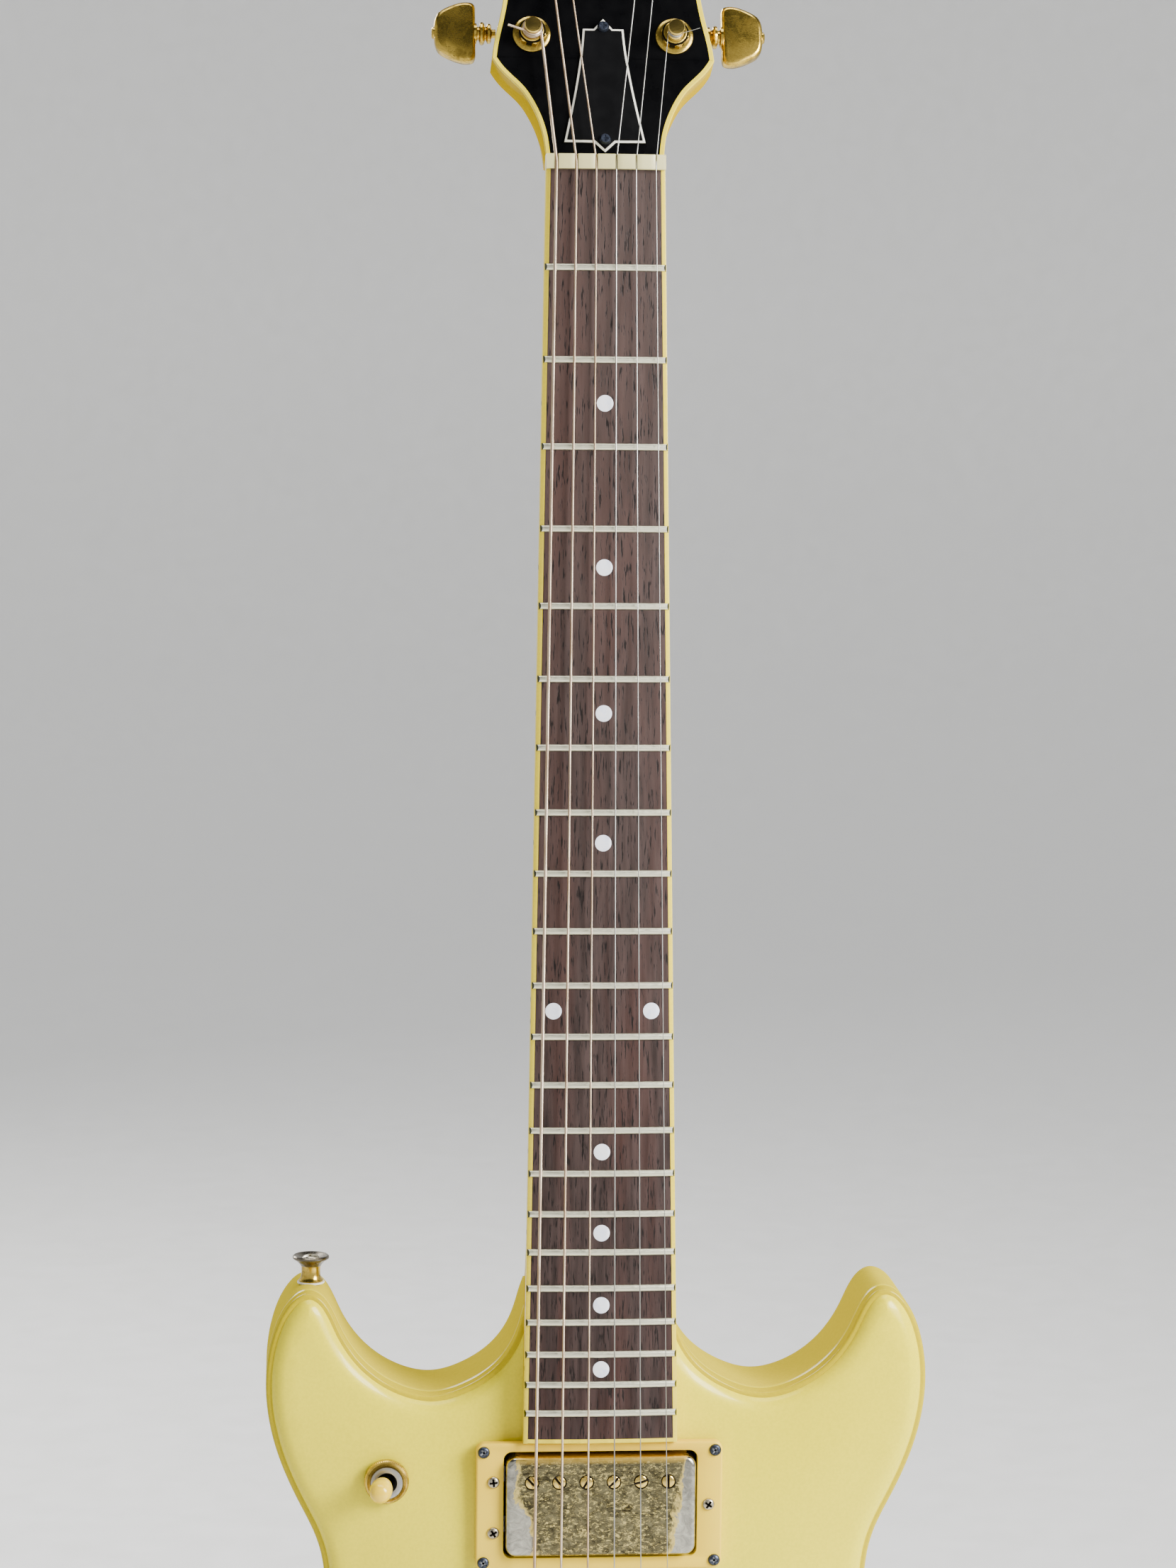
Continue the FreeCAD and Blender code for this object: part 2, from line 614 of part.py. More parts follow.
slots = []
for fret in range(1, int(size("fret_count")) + 1):
    place = FRET_22 - distance_to_fret(fret)
    wide = 2 * (half_width(place) - EDGE)
    slots.append(block("fret_slot_%d" % fret, (wide, 4.0, "tang_width"), (0, 1.2, place)))
slot_space = cut("slot_space", group("fret_slots", slots), [crown("slot_floor", -size("tang_depth"))])
board_crowned = overlap("board_crowned", board_core, crown("board_crown", 0.0))
keep(cut("fretboard", board_crowned, dot_rods("dot_pocket", -2.0, 2 + size("dot_depth")) + [slot_space]),
     "fretboard", NECK)
dots = overlap("face_dots", group("dot_blanks", dot_rods("dot_blank", -2.0, 2 + size("dot_depth"))),
               crown("dot_crown", 0.0))
side_dots = []
side_pockets = []
for fret in DOT_FRETS:
    shifts = (-4.0, 4.0) if fret == 12 else (0.0,)
    for n, shift in enumerate(shifts):
        place = dot_place(fret) + shift
        seat = Vector(-half_width(place) + 1.0, 3.6, place)
        side_dots.append(rod("side_dot_%d_%d" % (fret, n), 1.0, 1.0, seat, Vector(-1, 0, 0)))
        side_pockets.append(rod("side_pocket_%d_%d" % (fret, n), 1.0, 1.5, seat, Vector(-1, 0, 0)))
keep(group("inlay_dots", [dots] + side_dots), "inlay_dots", NECK)
binding_strip = cut("binding_strip", board_full, [board_wedge("board_space", EDGE, EDGE, 1.0)])
binding_crowned = overlap("binding_crowned", binding_strip, crown("binding_crown", 0.0))
keep(cut("fretboard_binding", binding_crowned, side_pockets), "fretboard_binding", NECK)

crown_shell = cut("crown_shell", crown("fret_crown", size("fret_rise")), [crown("fret_seat", 0.0)])
beads = []
tangs = []
for fret in range(1, int(size("fret_count")) + 1):
    place = FRET_22 - distance_to_fret(fret)
    bead_width = 2 * half_width(place) - 0.8
    tang_span = 2 * (half_width(place) - EDGE) - 0.02
    beads.append(block("fret_bead_%d" % fret, (bead_width, 6.0, "fret_width"), (0, 1.0, place)))
    tangs.append(block("fret_tang_%d" % fret, (tang_span, 6.0, "tang_width"), (0, 1.2, place)))
fret_beads = overlap("fret_beads", group("bead_blanks", beads), crown_shell)
tang_shell = cut("tang_shell", crown("tang_top", 0.02), [crown("tang_floor", -size("tang_depth"))])
fret_tangs = overlap("fret_tangs", group("tang_blanks", tangs), tang_shell)
keep(join("frets", [fret_beads, fret_tangs]), "frets", NECK)


# --------------------------------------------------------------------------------------------- nut

def string_offset(number, spread):
    """The sideways place of one of the six strings, from the bass side."""
    return spread * (number / 5.0 - 0.5)


NUT_SPREAD, BRIDGE_SPREAD = 36.0, 51.6
NUT_MIDDLE = FRET_22 + size("nut_thickness") / 2
nut_block = block("nut_block", (2 * size("half_nut_width"), size("board_thickness") + 4, "nut_thickness"),
                  (0, size("board_thickness") / 2 - 2, NUT_MIDDLE))
nut_crown = rod("nut_crown", size("board_radius") + size("nut_rise"), 20.0,
                (0, size("board_radius"), FRET_22 - 5), UP)
nut_slots = []
for number, radius in enumerate(STRING_RADII):
    sideways = string_offset(number, NUT_SPREAD)
    slot = block("nut_slot_%d" % number, (2 * radius + 0.3, 3.0, 9.0),
                 (sideways, -size("string_rise") + radius + 0.15 - 1.5, NUT_MIDDLE))
    nut_slots.append(slot)

POST_TOP = -9.5
WINDING_RADIUS = 4.3


def string_route(number):
    """A string's side sign, then its place on the nut and beside its post, in the neck's frame."""
    sign = -1 if number < 3 else 1
    row = number if number < 3 else 5 - number
    post_x, post_z = TUNER_ROWS[row]
    beside = sign * (post_x - WINDING_RADIUS - STRING_RADII[number])
    nut_top = Vector(string_offset(number, NUT_SPREAD), -size("string_rise"), NUT_MIDDLE)
    return nut_top, HEAD_ORIGIN.multVec(Vector(beside, POST_TOP + 3.0, post_z - 1.0))


for number, radius in enumerate(STRING_RADII):
    nut_top, post_side = string_route(number)
    onward = (post_side - nut_top).normalize()
    nut_slots.append(rod("nut_ramp_%d" % number, radius + 0.15, 8.0, nut_top, onward))
keep(cut("nut", overlap("nut_shape", nut_block, nut_crown), nut_slots), "nut", NECK)

# ------------------------------------------------------------------------------------------ tuners

HEAD_BACK = size("veneer") + size("head_depth")
HOUSING = (15.0, 9.0, 21.0)
HOUSING_SHIFT = 2.6
WORM_OFFSET = size("gear_radius") + size("worm_radius") + 0.35
SHAFT_Y = HEAD_BACK + 4.6
BUTTON_GAP = 45.6


def in_head(item):
    item.Placement = HEAD.multiply(item.Placement)
    return item


housings, bushings = [], []
for side_name, sign, number, x, z in tuner_places():
    tag = "%s_%d" % (side_name, number)
    outward = Vector(sign, 0, 0)
    worm_z = z + WORM_OFFSET
    centre = (x, HEAD_BACK + HOUSING[1] / 2, z + HOUSING_SHIFT)
    shell = block("housing_shell_" + tag, HOUSING, centre)
    space = block("housing_space_" + tag, (HOUSING[0] - 2, HOUSING[1] - 3, HOUSING[2] - 3), centre)
    post_bore = rod("housing_bore_" + tag, "post_bore", 8.0, (x, HEAD_BACK - 1, z), BACK)
    shaft_bore = rod("shaft_bore_" + tag, "worm_bore", 12.0, (x, SHAFT_Y, worm_z), outward)
    sleeve = rod("shaft_sleeve_" + tag, 3.0, 37.5 - abs(x) - HOUSING[0] / 2,
                 (x + sign * HOUSING[0] / 2, SHAFT_Y, worm_z), outward)
    sleeve_bore = rod("sleeve_bore_" + tag, "worm_bore", 30.0, (x + sign * 2, SHAFT_Y, worm_z), outward)
    housings.append(cut("housing_" + tag, join("housing_body_" + tag, [shell, sleeve]),
                        [space, post_bore, shaft_bore, sleeve_bore]))
    tube = rod("bushing_tube_" + tag, "bushing_radius", 8.0, (x, 7.0, z), FRONT)
    washer = rod("bushing_washer_" + tag, "washer_radius", "washer_thickness", (x, -0.02, z), FRONT)
    hexed = hexagon("bushing_hex_" + tag, "hex_radius", "hex_thickness", (x, -1.4, z), FRONT)
    collar = rod("bushing_collar_" + tag, 4.3, 1.0, (x, -3.6, z), FRONT)
    bore = rod("bushing_bore_" + tag, "post_bore", 20.0, (x, 9.0, z), FRONT)
    bushing = join("bushing_body_" + tag, [tube, washer, hexed, collar])
    bushings.append(cut("bushing_" + tag, bushing, [bore]))
keep(group("tuner_housings", housings), "tuner_housings", HEAD)
keep(group("tuner_bushings", bushings), "tuner_bushings", HEAD)

for side_name, sign, number, x, z in tuner_places():
    tag = "%s_%d" % (side_name, number)
    stem = rod("post_stem_" + tag, "post_radius", HEAD_BACK + 6.2 - POST_TOP, (x, POST_TOP, z), BACK)
    waist_top = (x, POST_TOP + 1.1, z)
    waist = cut("post_waist_" + tag, rod("waist_outer_" + tag, 5.0, 3.7, waist_top, BACK),
                [rod("waist_inner_" + tag, 2.5, 3.7, waist_top, BACK)])
    eye = rod("post_eye_" + tag, 0.8, 12.0, (x - 6, POST_TOP + 2.6, z), RIGHT)
    gear = rod("post_gear_" + tag, "gear_radius", "gear_height", (x, HEAD_BACK + 3.0, z), BACK)
    turned_post = cut("post_turned_" + tag, join("post_solid_" + tag, [stem, gear]), [waist, eye])
    coil_top = (x, POST_TOP + 1.4, z)
    coil = cut("winding_" + tag, rod("winding_outer_" + tag, 3.9, 3.2, coil_top, BACK),
               [rod("winding_inner_" + tag, 2.5, 3.2, coil_top, BACK)])
    keep(group("tuner_post_" + tag, [turned_post, coil]), "tuner_post_" + tag, HEAD)

    worm_z = z + WORM_OFFSET
    outward = Vector(sign, 0, 0)
    inner_end = x - sign * 4.0
    worm_shaft = rod("worm_shaft_" + tag, "worm_radius", BUTTON_GAP + 2 - abs(inner_end),
                     (inner_end, SHAFT_Y, worm_z), outward)
    cone_seat = (sign * (BUTTON_GAP - 5.6), SHAFT_Y, worm_z)
    collar = taper("button_cone_" + tag, 2.6, 4.2, 4.6, cone_seat, outward)
    ring_seat = (sign * (BUTTON_GAP - 1.0), SHAFT_Y, worm_z)
    neck_ring = rod("button_seat_" + tag, 4.4, 1.2, ring_seat, outward)
    paddle = new_body("button_paddle_" + tag)
    paddle_sketch = sketch_in(paddle, "button_outline_" + tag, "XZ_Plane")
    width, tall = size("button_width"), size("button_height") / 2
    add_polygon(paddle_sketch, [
        (0, -tall + 2.0), (1.2, -tall + 0.5), (3.0, -tall), (width - 3.2, -tall + 3.0),
        (width - 0.9, -tall + 4.8), (width, -tall + 7.4), (width, tall - 7.4), (width - 0.9, tall - 4.8),
        (width - 3.2, tall - 3.0), (3.0, tall), (1.2, tall - 0.5), (0, tall - 2.0)])
    pad(paddle, paddle_sketch, "button_thickness", "button_pad_" + tag)
    half_turn = Rotation(UP, 0 if sign > 0 else 180)
    lift = size("button_thickness") / 2
    paddle.Placement = Placement(Vector(sign * BUTTON_GAP, SHAFT_Y + sign * lift, worm_z), half_turn)
    screw_seat = (sign * (BUTTON_GAP + width - 0.1), SHAFT_Y, worm_z)
    end_screw = rod("button_screw_" + tag, 1.9, 1.0, screw_seat, outward)
    keep(join("tuner_button_" + tag, [worm_shaft, collar, neck_ring, paddle, end_screw]),
         "tuner_button_" + tag, HEAD)

# ------------------------------------------------------------------------------------------ pickups

ring_nodes = (("pickup_ring_neck", NECK_PICKUP_Z, "neck_ring_thickness"),
              ("pickup_ring_bridge", BRIDGE_PICKUP_Z, "bridge_ring_thickness"))
COVER_SHIFT = 0.8
pickup_fronts = {"pickup_ring_neck": TOP_Y - 7.6, "pickup_ring_bridge": TOP_Y - 15.6}
screws, covers, bobbins, undersides, poles = [], [], [], [], []


def phillips_screw(name, head_radius, shank_radius, length, seat, outward):
    """A pan-head screw whose head stands outwards from its seat and has a crossed recess."""
    head = taper(name + "_head", head_radius, head_radius * 0.72, 1.3, seat, outward)
    shank = rod(name + "_shank", shank_radius, length, seat, outward * -1)
    top = Vector(seat) + outward * 0.9
    side = Vector(0, 0, 1) if abs(outward.z) < 0.5 else RIGHT
    other = outward.cross(side)
    bars = []
    for n, line in enumerate((side, other)):
        bar = doc.addObject("Part::Box", "%s_bar_%d" % (name, n))
        bar.Length, bar.Width, bar.Height = head_radius * 1.1, 0.6, 1.0
        turn = Rotation(line, outward.cross(line), outward, "XYZ")
        shift = turn.multVec(Vector(-head_radius * 0.55, -0.3, 0))
        bar.Placement = Placement(top + shift, turn)
        bars.append(bar)
    return cut(name, join(name + "_solid", [head, shank]), bars)


for ring_name, middle_z, thickness in ring_nodes:
    face_y = TOP_Y - size(thickness)
    frame = plate(ring_name + "_frame", "ring_width", "ring_height", 3.2, thickness, (0, middle_z), face_y)
    window = plate(ring_name + "_window", 71.2, 39.8, 3.0, 20.0, (0.4, middle_z + COVER_SHIFT), face_y - 5)
    holes = []
    for n, (dx, dz) in enumerate(RING_SCREWS + list(HEIGHT_SCREWS)):
        start = (dx, face_y - 1, middle_z + dz)
        holes.append(rod("%s_hole_%d" % (ring_name, n), 1.6, 14.0, start, BACK))
    keep(cut(ring_name, frame, [window] + holes), ring_name)

    front_y = pickup_fronts[ring_name]
    cover_z = middle_z + COVER_SHIFT
    tag = ring_name.replace("pickup_ring_", "")
    outer = plate("cover_outer_" + tag, "cover_width", "cover_height", 3.8, "cover_depth",
                  (0.4, cover_z), front_y)
    hollow = plate("cover_hollow_" + tag, size("cover_width") - 1.2, size("cover_height") - 1.2, 3.2,
                   "cover_depth", (0.4, cover_z), front_y + 0.6)
    pole_holes = []
    for n in range(6):
        start = (string_offset(n, 50.0), front_y - 1, cover_z + 9.3)
        pole_holes.append(rod("pole_hole_%s_%d" % (tag, n), 2.5, 3.0, start, BACK))
        top = (start[0], front_y - 0.5, start[2])
        head = rod("pole_head_%s_%d" % (tag, n), "pole_radius", 2.6, top, BACK)
        slot = block("pole_slot_%s_%d" % (tag, n), (5.0, 1.4, 0.7), top)
        slot.Placement.Rotation = Rotation(FRONT, 40 if n not in (2, 5) else -52)
        slot.Placement.Base = slot.Placement.Base + Vector(2.5, 0.7, 0.35) - slot.Placement.Rotation.multVec(
            Vector(2.5, 0.7, 0.35))
        stem = rod("pole_stem_%s_%d" % (tag, n), 1.4, 16.0, (start[0], front_y + 2.0, start[2]), BACK)
        pole = join("pole_body_%s_%d" % (tag, n), [head, stem])
        poles.append(cut("pole_%s_%d" % (tag, n), pole, [slot]))
    covers.append(cut("cover_" + tag, outer, [hollow] + pole_holes))

    for row, dz in enumerate((9.3, -9.3)):
        bar = plate("bobbin_bar_%s_%d" % (tag, row), 66.0, 17.0, 8.0, 9.0, (0.0, cover_z + dz), front_y + 2.7)
        bobbin_holes = []
        if row == 0:
            bobbin_holes = [rod("bobbin_hole_%s_%d" % (tag, n), 1.5, 14.0,
                                (string_offset(n, 50.0), front_y + 1, cover_z + dz), BACK) for n in range(6)]
        bobbins.append(cut("bobbin_%s_%d" % (tag, row), bar, bobbin_holes) if bobbin_holes else bar)
    tray_y = max(front_y + 15.6, TOP_Y + 1.8)
    magnet = block("magnet_" + tag, (62.0, 3.0, 12.6), (0.0, front_y + 13.4, cover_z))
    base_plate = block("base_plate_" + tag, (66.0, 1.2, 36.0), (0.0, tray_y, cover_z))
    stem_space = [rod("plate_hole_%s_%d" % (tag, n), 1.6, 6.0,
                      (string_offset(n, 50.0), front_y + 13, cover_z + 9.3), BACK) for n in range(6)]
    ears = []
    for n, (dx, dz) in enumerate(HEIGHT_SCREWS):
        middle = (dx * 0.93, tray_y, middle_z + dz)
        ears.append(block("ear_%s_%d" % (tag, n), (9.0, 1.2, 6.0), middle))
    ear_holes = [rod("ear_hole_%s_%d" % (tag, n), 1.25, 6.0, (dx, front_y + 13, middle_z + dz), BACK)
                 for n, (dx, dz) in enumerate(HEIGHT_SCREWS)]
    tray = cut("tray_" + tag, join("tray_body_" + tag, [base_plate] + ears), stem_space + ear_holes)
    undersides += [magnet, tray]

    for n, (dx, dz) in enumerate(RING_SCREWS):
        seat = Vector(dx, face_y, middle_z + dz)
        length = size(thickness) + 8
        screws.append(phillips_screw("ring_screw_%s_%d" % (tag, n), 2.3, 1.45, length, seat, FRONT))
    for n, (dx, dz) in enumerate(HEIGHT_SCREWS):
        seat = Vector(dx, face_y, middle_z + dz)
        length = front_y + 19 - face_y
        screws.append(phillips_screw("height_screw_%s_%d" % (tag, n), 2.3, 1.2, length, seat, FRONT))
keep(group("pickup_screws", screws), "pickup_screws")
keep(group("pickup_covers", covers), "pickup_covers")
keep(group("pickup_bobbins", bobbins), "pickup_bobbins")
keep(group("pickup_undersides", undersides), "pickup_undersides")
keep(group("pole_screws", poles), "pole_screws")

# --------------------------------------------------------------------------------- bridge and tail

BRIDGE_RISE = 4.3
SADDLE_LINE = NECK.multVec(Vector(0, -BRIDGE_RISE, FRET_22 - size("scale_length")))
STRING_Y = SADDLE_LINE.y
BRIDGE_FRONT = STRING_Y + 3.2
POCKET_FLOOR = BRIDGE_FRONT + 5.4
SADDLE_GAP = 0.75
BRIDGE_Z = size("bridge_z")
bridge_bar = plate("bridge_bar", "bridge_length", "bridge_width", 7.4, "bridge_depth",
                   (0, BRIDGE_Z), BRIDGE_FRONT)
saddle_bay = block("saddle_bay", (67.0, 11.0, 12.4), (0, POCKET_FLOOR - 5.5, BRIDGE_Z))
bridge_holes = []
for n, sign in enumerate((-1, 1)):
    start = (sign * size("bridge_half_span"), BRIDGE_FRONT - 2, BRIDGE_Z)
    bridge_holes.append(rod("bridge_hole_%d" % n, 3.0, 20.0, start, BACK))
saddle_screws = []
SCREW_Y = BRIDGE_FRONT + 3.0
for number in range(6):
    across = string_offset(number, BRIDGE_SPREAD)
    below = (across, SCREW_Y, BRIDGE_Z - 10)
    bridge_holes.append(rod("saddle_screw_hole_%d" % number, 1.2, 20.0, below, UP))
    seat = (across, SCREW_Y, BRIDGE_Z - size("bridge_width") / 2)
    stem = rod("saddle_screw_stem_%d" % number, 1.15, 14.4, seat, UP)
    head = rod("saddle_screw_head_%d" % number, 1.9, 1.5, seat, DOWN)
    slot = block("saddle_screw_slot_%d" % number, (5.0, 0.6, 1.2), (across, SCREW_Y, seat[2] - 1.5))
    screw_body = join("saddle_screw_body_%d" % number, [stem, head])
    saddle_screws.append(cut("saddle_screw_%d" % number, screw_body, [slot]))
keep(cut("bridge_base", bridge_bar, [saddle_bay] + bridge_holes), "bridge_base")
keep(group("saddle_screws", saddle_screws), "saddle_screws")

for number, radius in enumerate(STRING_RADII):
    across = string_offset(number, BRIDGE_SPREAD)
    middle_z = BRIDGE_Z + SADDLE_SHIFTS[number]
    low_y = POCKET_FLOOR - 0.05
    high_y = STRING_Y + radius - 0.5
    saddle_tall = low_y - high_y
    base = block("saddle_block_%d" % number, ("saddle_width", saddle_tall, "saddle_length"),
                 (across, (low_y + high_y) / 2, middle_z))
    notch_y = STRING_Y + radius + SADDLE_GAP
    notch = block("saddle_notch_%d" % number, (2 * radius + 0.5, 3.0, 9.0),
                  (across, notch_y - 1.5, middle_z))
    ramps = []
    for kind, wide, top, angle in (("notch_ramp", 2 * radius + 0.5, notch_y, 22), ("slope", 9.0, high_y, 40)):
        ramp = block("saddle_%s_%d" % (kind, number), (wide, 4.0, 6.0), (0, 0, 0))
        crest = Placement(Vector(across, top, middle_z + 0.1), Rotation(RIGHT, angle))
        ramp.Placement = crest.multiply(Placement(Vector(-wide / 2, -4.0, -6.0), Rotation()))
        ramps.append(ramp)
    tunnel = rod("saddle_tunnel_%d" % number, 1.25, 12.0, (across, SCREW_Y, middle_z - 6), UP)
    keep(cut("saddle_%d" % (number + 1), base, [notch, tunnel] + ramps), "saddle_%d" % (number + 1))

WHEEL_Y = BRIDGE_FRONT + size("bridge_depth")
posts = []
for n, sign in enumerate((-1, 1)):
    place = (sign * size("bridge_half_span"), BRIDGE_FRONT - 0.4, BRIDGE_Z)
    stem = rod("bridge_stem_%d" % n, 2.95, 16 - place[1] - 24.0, place, BACK)
    wheel = rod("bridge_wheel_%d" % n, 9.0, 2.4, (place[0], WHEEL_Y + 0.02, BRIDGE_Z), BACK)
    slot = block("bridge_stem_slot_%d" % n, (9.0, 1.4, 1.0), place)
    posts.append(cut("bridge_post_%d" % n, join("bridge_post_body_%d" % n, [stem, wheel]), [slot]))
keep(group("bridge_posts", posts), "bridge_posts")

TAIL_Z = size("tail_z")
TAIL_FRONT = TOP_Y - 16.5
TAIL_MIDDLE = TAIL_FRONT + size("tail_depth") / 2
tail_bar = plate("tail_bar", "tail_length", "tail_width", 7.6, "tail_depth", (0, TAIL_Z), TAIL_FRONT)
tail_holes = []
for number, radius in enumerate(STRING_RADII):
    across = string_offset(number, BRIDGE_SPREAD)
    tail_holes.append(rod("tail_bore_%d" % number, 1.1, 30.0, (across, TAIL_MIDDLE, TAIL_Z - 12), UP))
    tail_holes.append(rod("tail_recess_%d" % number, 2.3, 5.0, (across, TAIL_MIDDLE, TAIL_Z - 8), UP))
studs = []
for n, sign in enumerate((-1, 1)):
    across = sign * size("tail_half_span")
    tail_holes.append(rod("tail_stud_hole_%d" % n, 3.6, 20.0, (across, TAIL_FRONT - 2, TAIL_Z), BACK))
    stem = rod("stud_stem_%d" % n, 3.4, 28.0, (across, TAIL_FRONT - 3, TAIL_Z), BACK)
    head = rod("stud_head_%d" % n, 8.6, 3.6, (across, TAIL_FRONT - 0.05, TAIL_Z), FRONT)
    tail_back = (across, TAIL_FRONT + size("tail_depth") + 0.05, TAIL_Z)
    flange = rod("stud_flange_%d" % n, 7.5, 1.6, tail_back, BACK)
    slot = block("stud_slot_%d" % n, (18.0, 2.4, 2.2), (across, TAIL_FRONT - 3.6, TAIL_Z))
    studs.append(cut("stud_%d" % n, join("stud_body_%d" % n, [stem, head, flange]), [slot]))
keep(cut("tailpiece", tail_bar, tail_holes), "tailpiece")
keep(group("tailpiece_studs", studs), "tailpiece_studs")

sleeves = []
for n, (x, z) in enumerate(stud_places):
    bore = 3.0 if z > TAIL_Z + 10 else 3.45
    barrel = rod("sleeve_barrel_%d" % n, 5.45, 22.0, (x, TOP_Y - 0.3, z), BACK)
    lip = rod("sleeve_lip_%d" % n, 6.6, 0.9, (x, TOP_Y - 0.02, z), FRONT)
    hole = rod("sleeve_hole_%d" % n, bore, 30.0, (x, TOP_Y - 4, z), BACK)
    sleeves.append(cut("sleeve_%d" % n, join("sleeve_body_%d" % n, [barrel, lip]), [hole]))
keep(group("stud_bushings", sleeves), "stud_bushings")


# ------------------------------------------------------------------------------------------ strings

def string_solid(name, points, radius, bend):
    """A round wire along straight runs, joined by an arc at each inner point."""
    edges = []
    start = points[0]
    for before, corner, after in zip(points, points[1:], points[2:]):
        inward, onward = (corner - before).normalize(), (after - corner).normalize()
        half_turn = inward.getAngle(onward) / 2
        reach = bend * math.tan(half_turn)
        arc_start, arc_end = corner - inward * reach, corner + onward * reach
        middle_way = (onward - inward).normalize()
        arc_middle = corner + middle_way * (bend / math.cos(half_turn) - bend)
        edges.append(Part.LineSegment(start, arc_start).toShape())
        edges.append(Part.Arc(arc_start, arc_middle, arc_end).toShape())
        start = arc_end
    edges.append(Part.LineSegment(start, points[-1]).toShape())
    spine = Part.Wire(edges)
    first_way = (points[1] - points[0]).normalize()
    ring = Part.Wire([Part.Circle(points[0], first_way, radius).toShape()])
    solid = spine.makePipeShell([ring], True, False)
    expected = math.pi * radius ** 2 * spine.Length
    print(name, "length", round(spine.Length, 1), "volume ratio", round(solid.Volume / expected, 4))
    item = doc.addObject("Part::Feature", name)
    item.Shape = solid
    return item


strings = []
for number, radius in enumerate(STRING_RADII):
    nut_top, post_side = [NECK.multVec(place) for place in string_route(number)]
    bridge_x = string_offset(number, BRIDGE_SPREAD)
    saddle_top = Vector(bridge_x, STRING_Y, BRIDGE_Z + SADDLE_SHIFTS[number])
    tail_mouth = Vector(bridge_x, TAIL_MIDDLE, TAIL_Z + size("tail_width") / 2 + 0.4)
    ball_end = Vector(bridge_x, TAIL_MIDDLE, TAIL_Z - 4)
    path = [ball_end, tail_mouth, saddle_top, nut_top, post_side]
    strings.append(string_solid("string_%d" % (number + 1), path, radius, 4.0))
keep(group("strings", strings), "strings")

# ----------------------------------------------------------------------------------------- controls

NUT_FACE = TOP_Y - 0.05
KNOB_BACK = TOP_Y - 0.9
cans = []
for number, (x, z) in enumerate(KNOBS, start=1):
    tall = size("knob_height")
    radius = size("knob_radius")
    skirt = turned("knob_skirt_%d" % number, [
        (0, 3.4), (8.6, 3.4), (8.6, 0), (radius, 0), (radius, 3.0), (radius - 0.8, 4.2),
        (radius - 2.0, tall - 1.4), (radius - 3.2, tall), (0, tall)], (x, KNOB_BACK, z), FRONT)
    pointer = block("knob_pointer_%d" % number, (0.8, 0.8, 6.0), (x, KNOB_BACK - tall, z + 4.8))
    socket = rod("knob_socket_%d" % number, "shaft_radius", 9.0, (x, KNOB_BACK, z), FRONT)
    cap = cut("knob_cap_%d" % number, skirt, [socket, pointer])
    stem = rod("knob_stem_%d" % number, "shaft_radius", 24.0, (x, KNOB_BACK - 9.0, z), BACK)
    keep(group("knob_%d" % number, [cap, stem]), "knob_%d" % number)
    can_front = cavity_floor + 0.05
    can = rod("can_%d" % number, "can_radius", "can_height", (x, can_front, z), BACK)
    neck_tube = rod("can_tube_%d" % number, 4.75, can_front - TOP_Y + 2.9, (x, can_front, z), FRONT)
    hex_nut = hexagon("can_nut_%d" % number, 6.6, 2.0, (x, NUT_FACE, z), FRONT)
    bore = rod("can_bore_%d" % number, "shaft_bore", 60.0, (x, TOP_Y - 10, z), BACK)
    lugs = block("can_lugs_%d" % number, (13.0, 1.2, 7.0), (x, can_front + 2.0, z - 14.0))
    pot_body = join("pot_body_%d" % number, [can, neck_tube, hex_nut, lugs])
    cans.append(cut("pot_%d" % number, pot_body, [bore]))
keep(group("potentiometers", cans), "potentiometers")

SWITCH_PIVOT_Y = TOP_Y + 5.0
SWITCH_LEAN = -7.5
switch_box = block("switch_box", (26.0, 24.0, 14.0), (SWITCH[0], cavity_floor + 12.05, SWITCH[1]))
switch_tube = rod("switch_tube", size("switch_radius") - 0.05, cavity_floor - TOP_Y + 3.4,
                  (SWITCH[0], cavity_floor + 0.05, SWITCH[1]), FRONT)
switch_well = block("switch_well", (21.0, 18.0, 9.0), (SWITCH[0], cavity_floor + 12.0, SWITCH[1]))
switch_mouth = taper("switch_mouth", 2.4, 3.9, SWITCH_PIVOT_Y - TOP_Y + 3.6,
                     (SWITCH[0], SWITCH_PIVOT_Y, SWITCH[1]), FRONT)
switch_throat = rod("switch_throat", 2.9, 10.0, (SWITCH[0], SWITCH_PIVOT_Y - 1, SWITCH[1]), BACK)
pin_bore = rod("pin_bore", 0.85, 7.8, (SWITCH[0], SWITCH_PIVOT_Y, SWITCH[1] - 3.9), UP)
switch_tools = [switch_well, switch_mouth, switch_throat, pin_bore]
keep(cut("switch_frame", join("switch_solid", [switch_box, switch_tube]), switch_tools), "switch_frame")
nut_disc = rod("nut_disc", "switch_nut_radius", 2.5, (SWITCH[0], NUT_FACE, SWITCH[1]), FRONT)
nut_bore = rod("nut_bore", "switch_radius", 6.0, (SWITCH[0], NUT_FACE + 2, SWITCH[1]), FRONT)
notches = []
NOTCH_COUNT = 36
for step in range(NOTCH_COUNT):
    angle = 2 * math.pi * step / NOTCH_COUNT
    place = (SWITCH[0] + 8.5 * math.cos(angle), NUT_FACE + 1, SWITCH[1] + 8.5 * math.sin(angle))
    notches.append(rod("nut_notch_%d" % step, 0.5, 5.0, place, FRONT))
keep(cut("switch_nut", nut_disc, [nut_bore, group("nut_notches", notches)]), "switch_nut")
TIP_BASE, TIP_TOP = TOP_Y - 6.2, TOP_Y - 18.5
tip_length = TIP_BASE - TIP_TOP
tip_r = size("tip_radius")
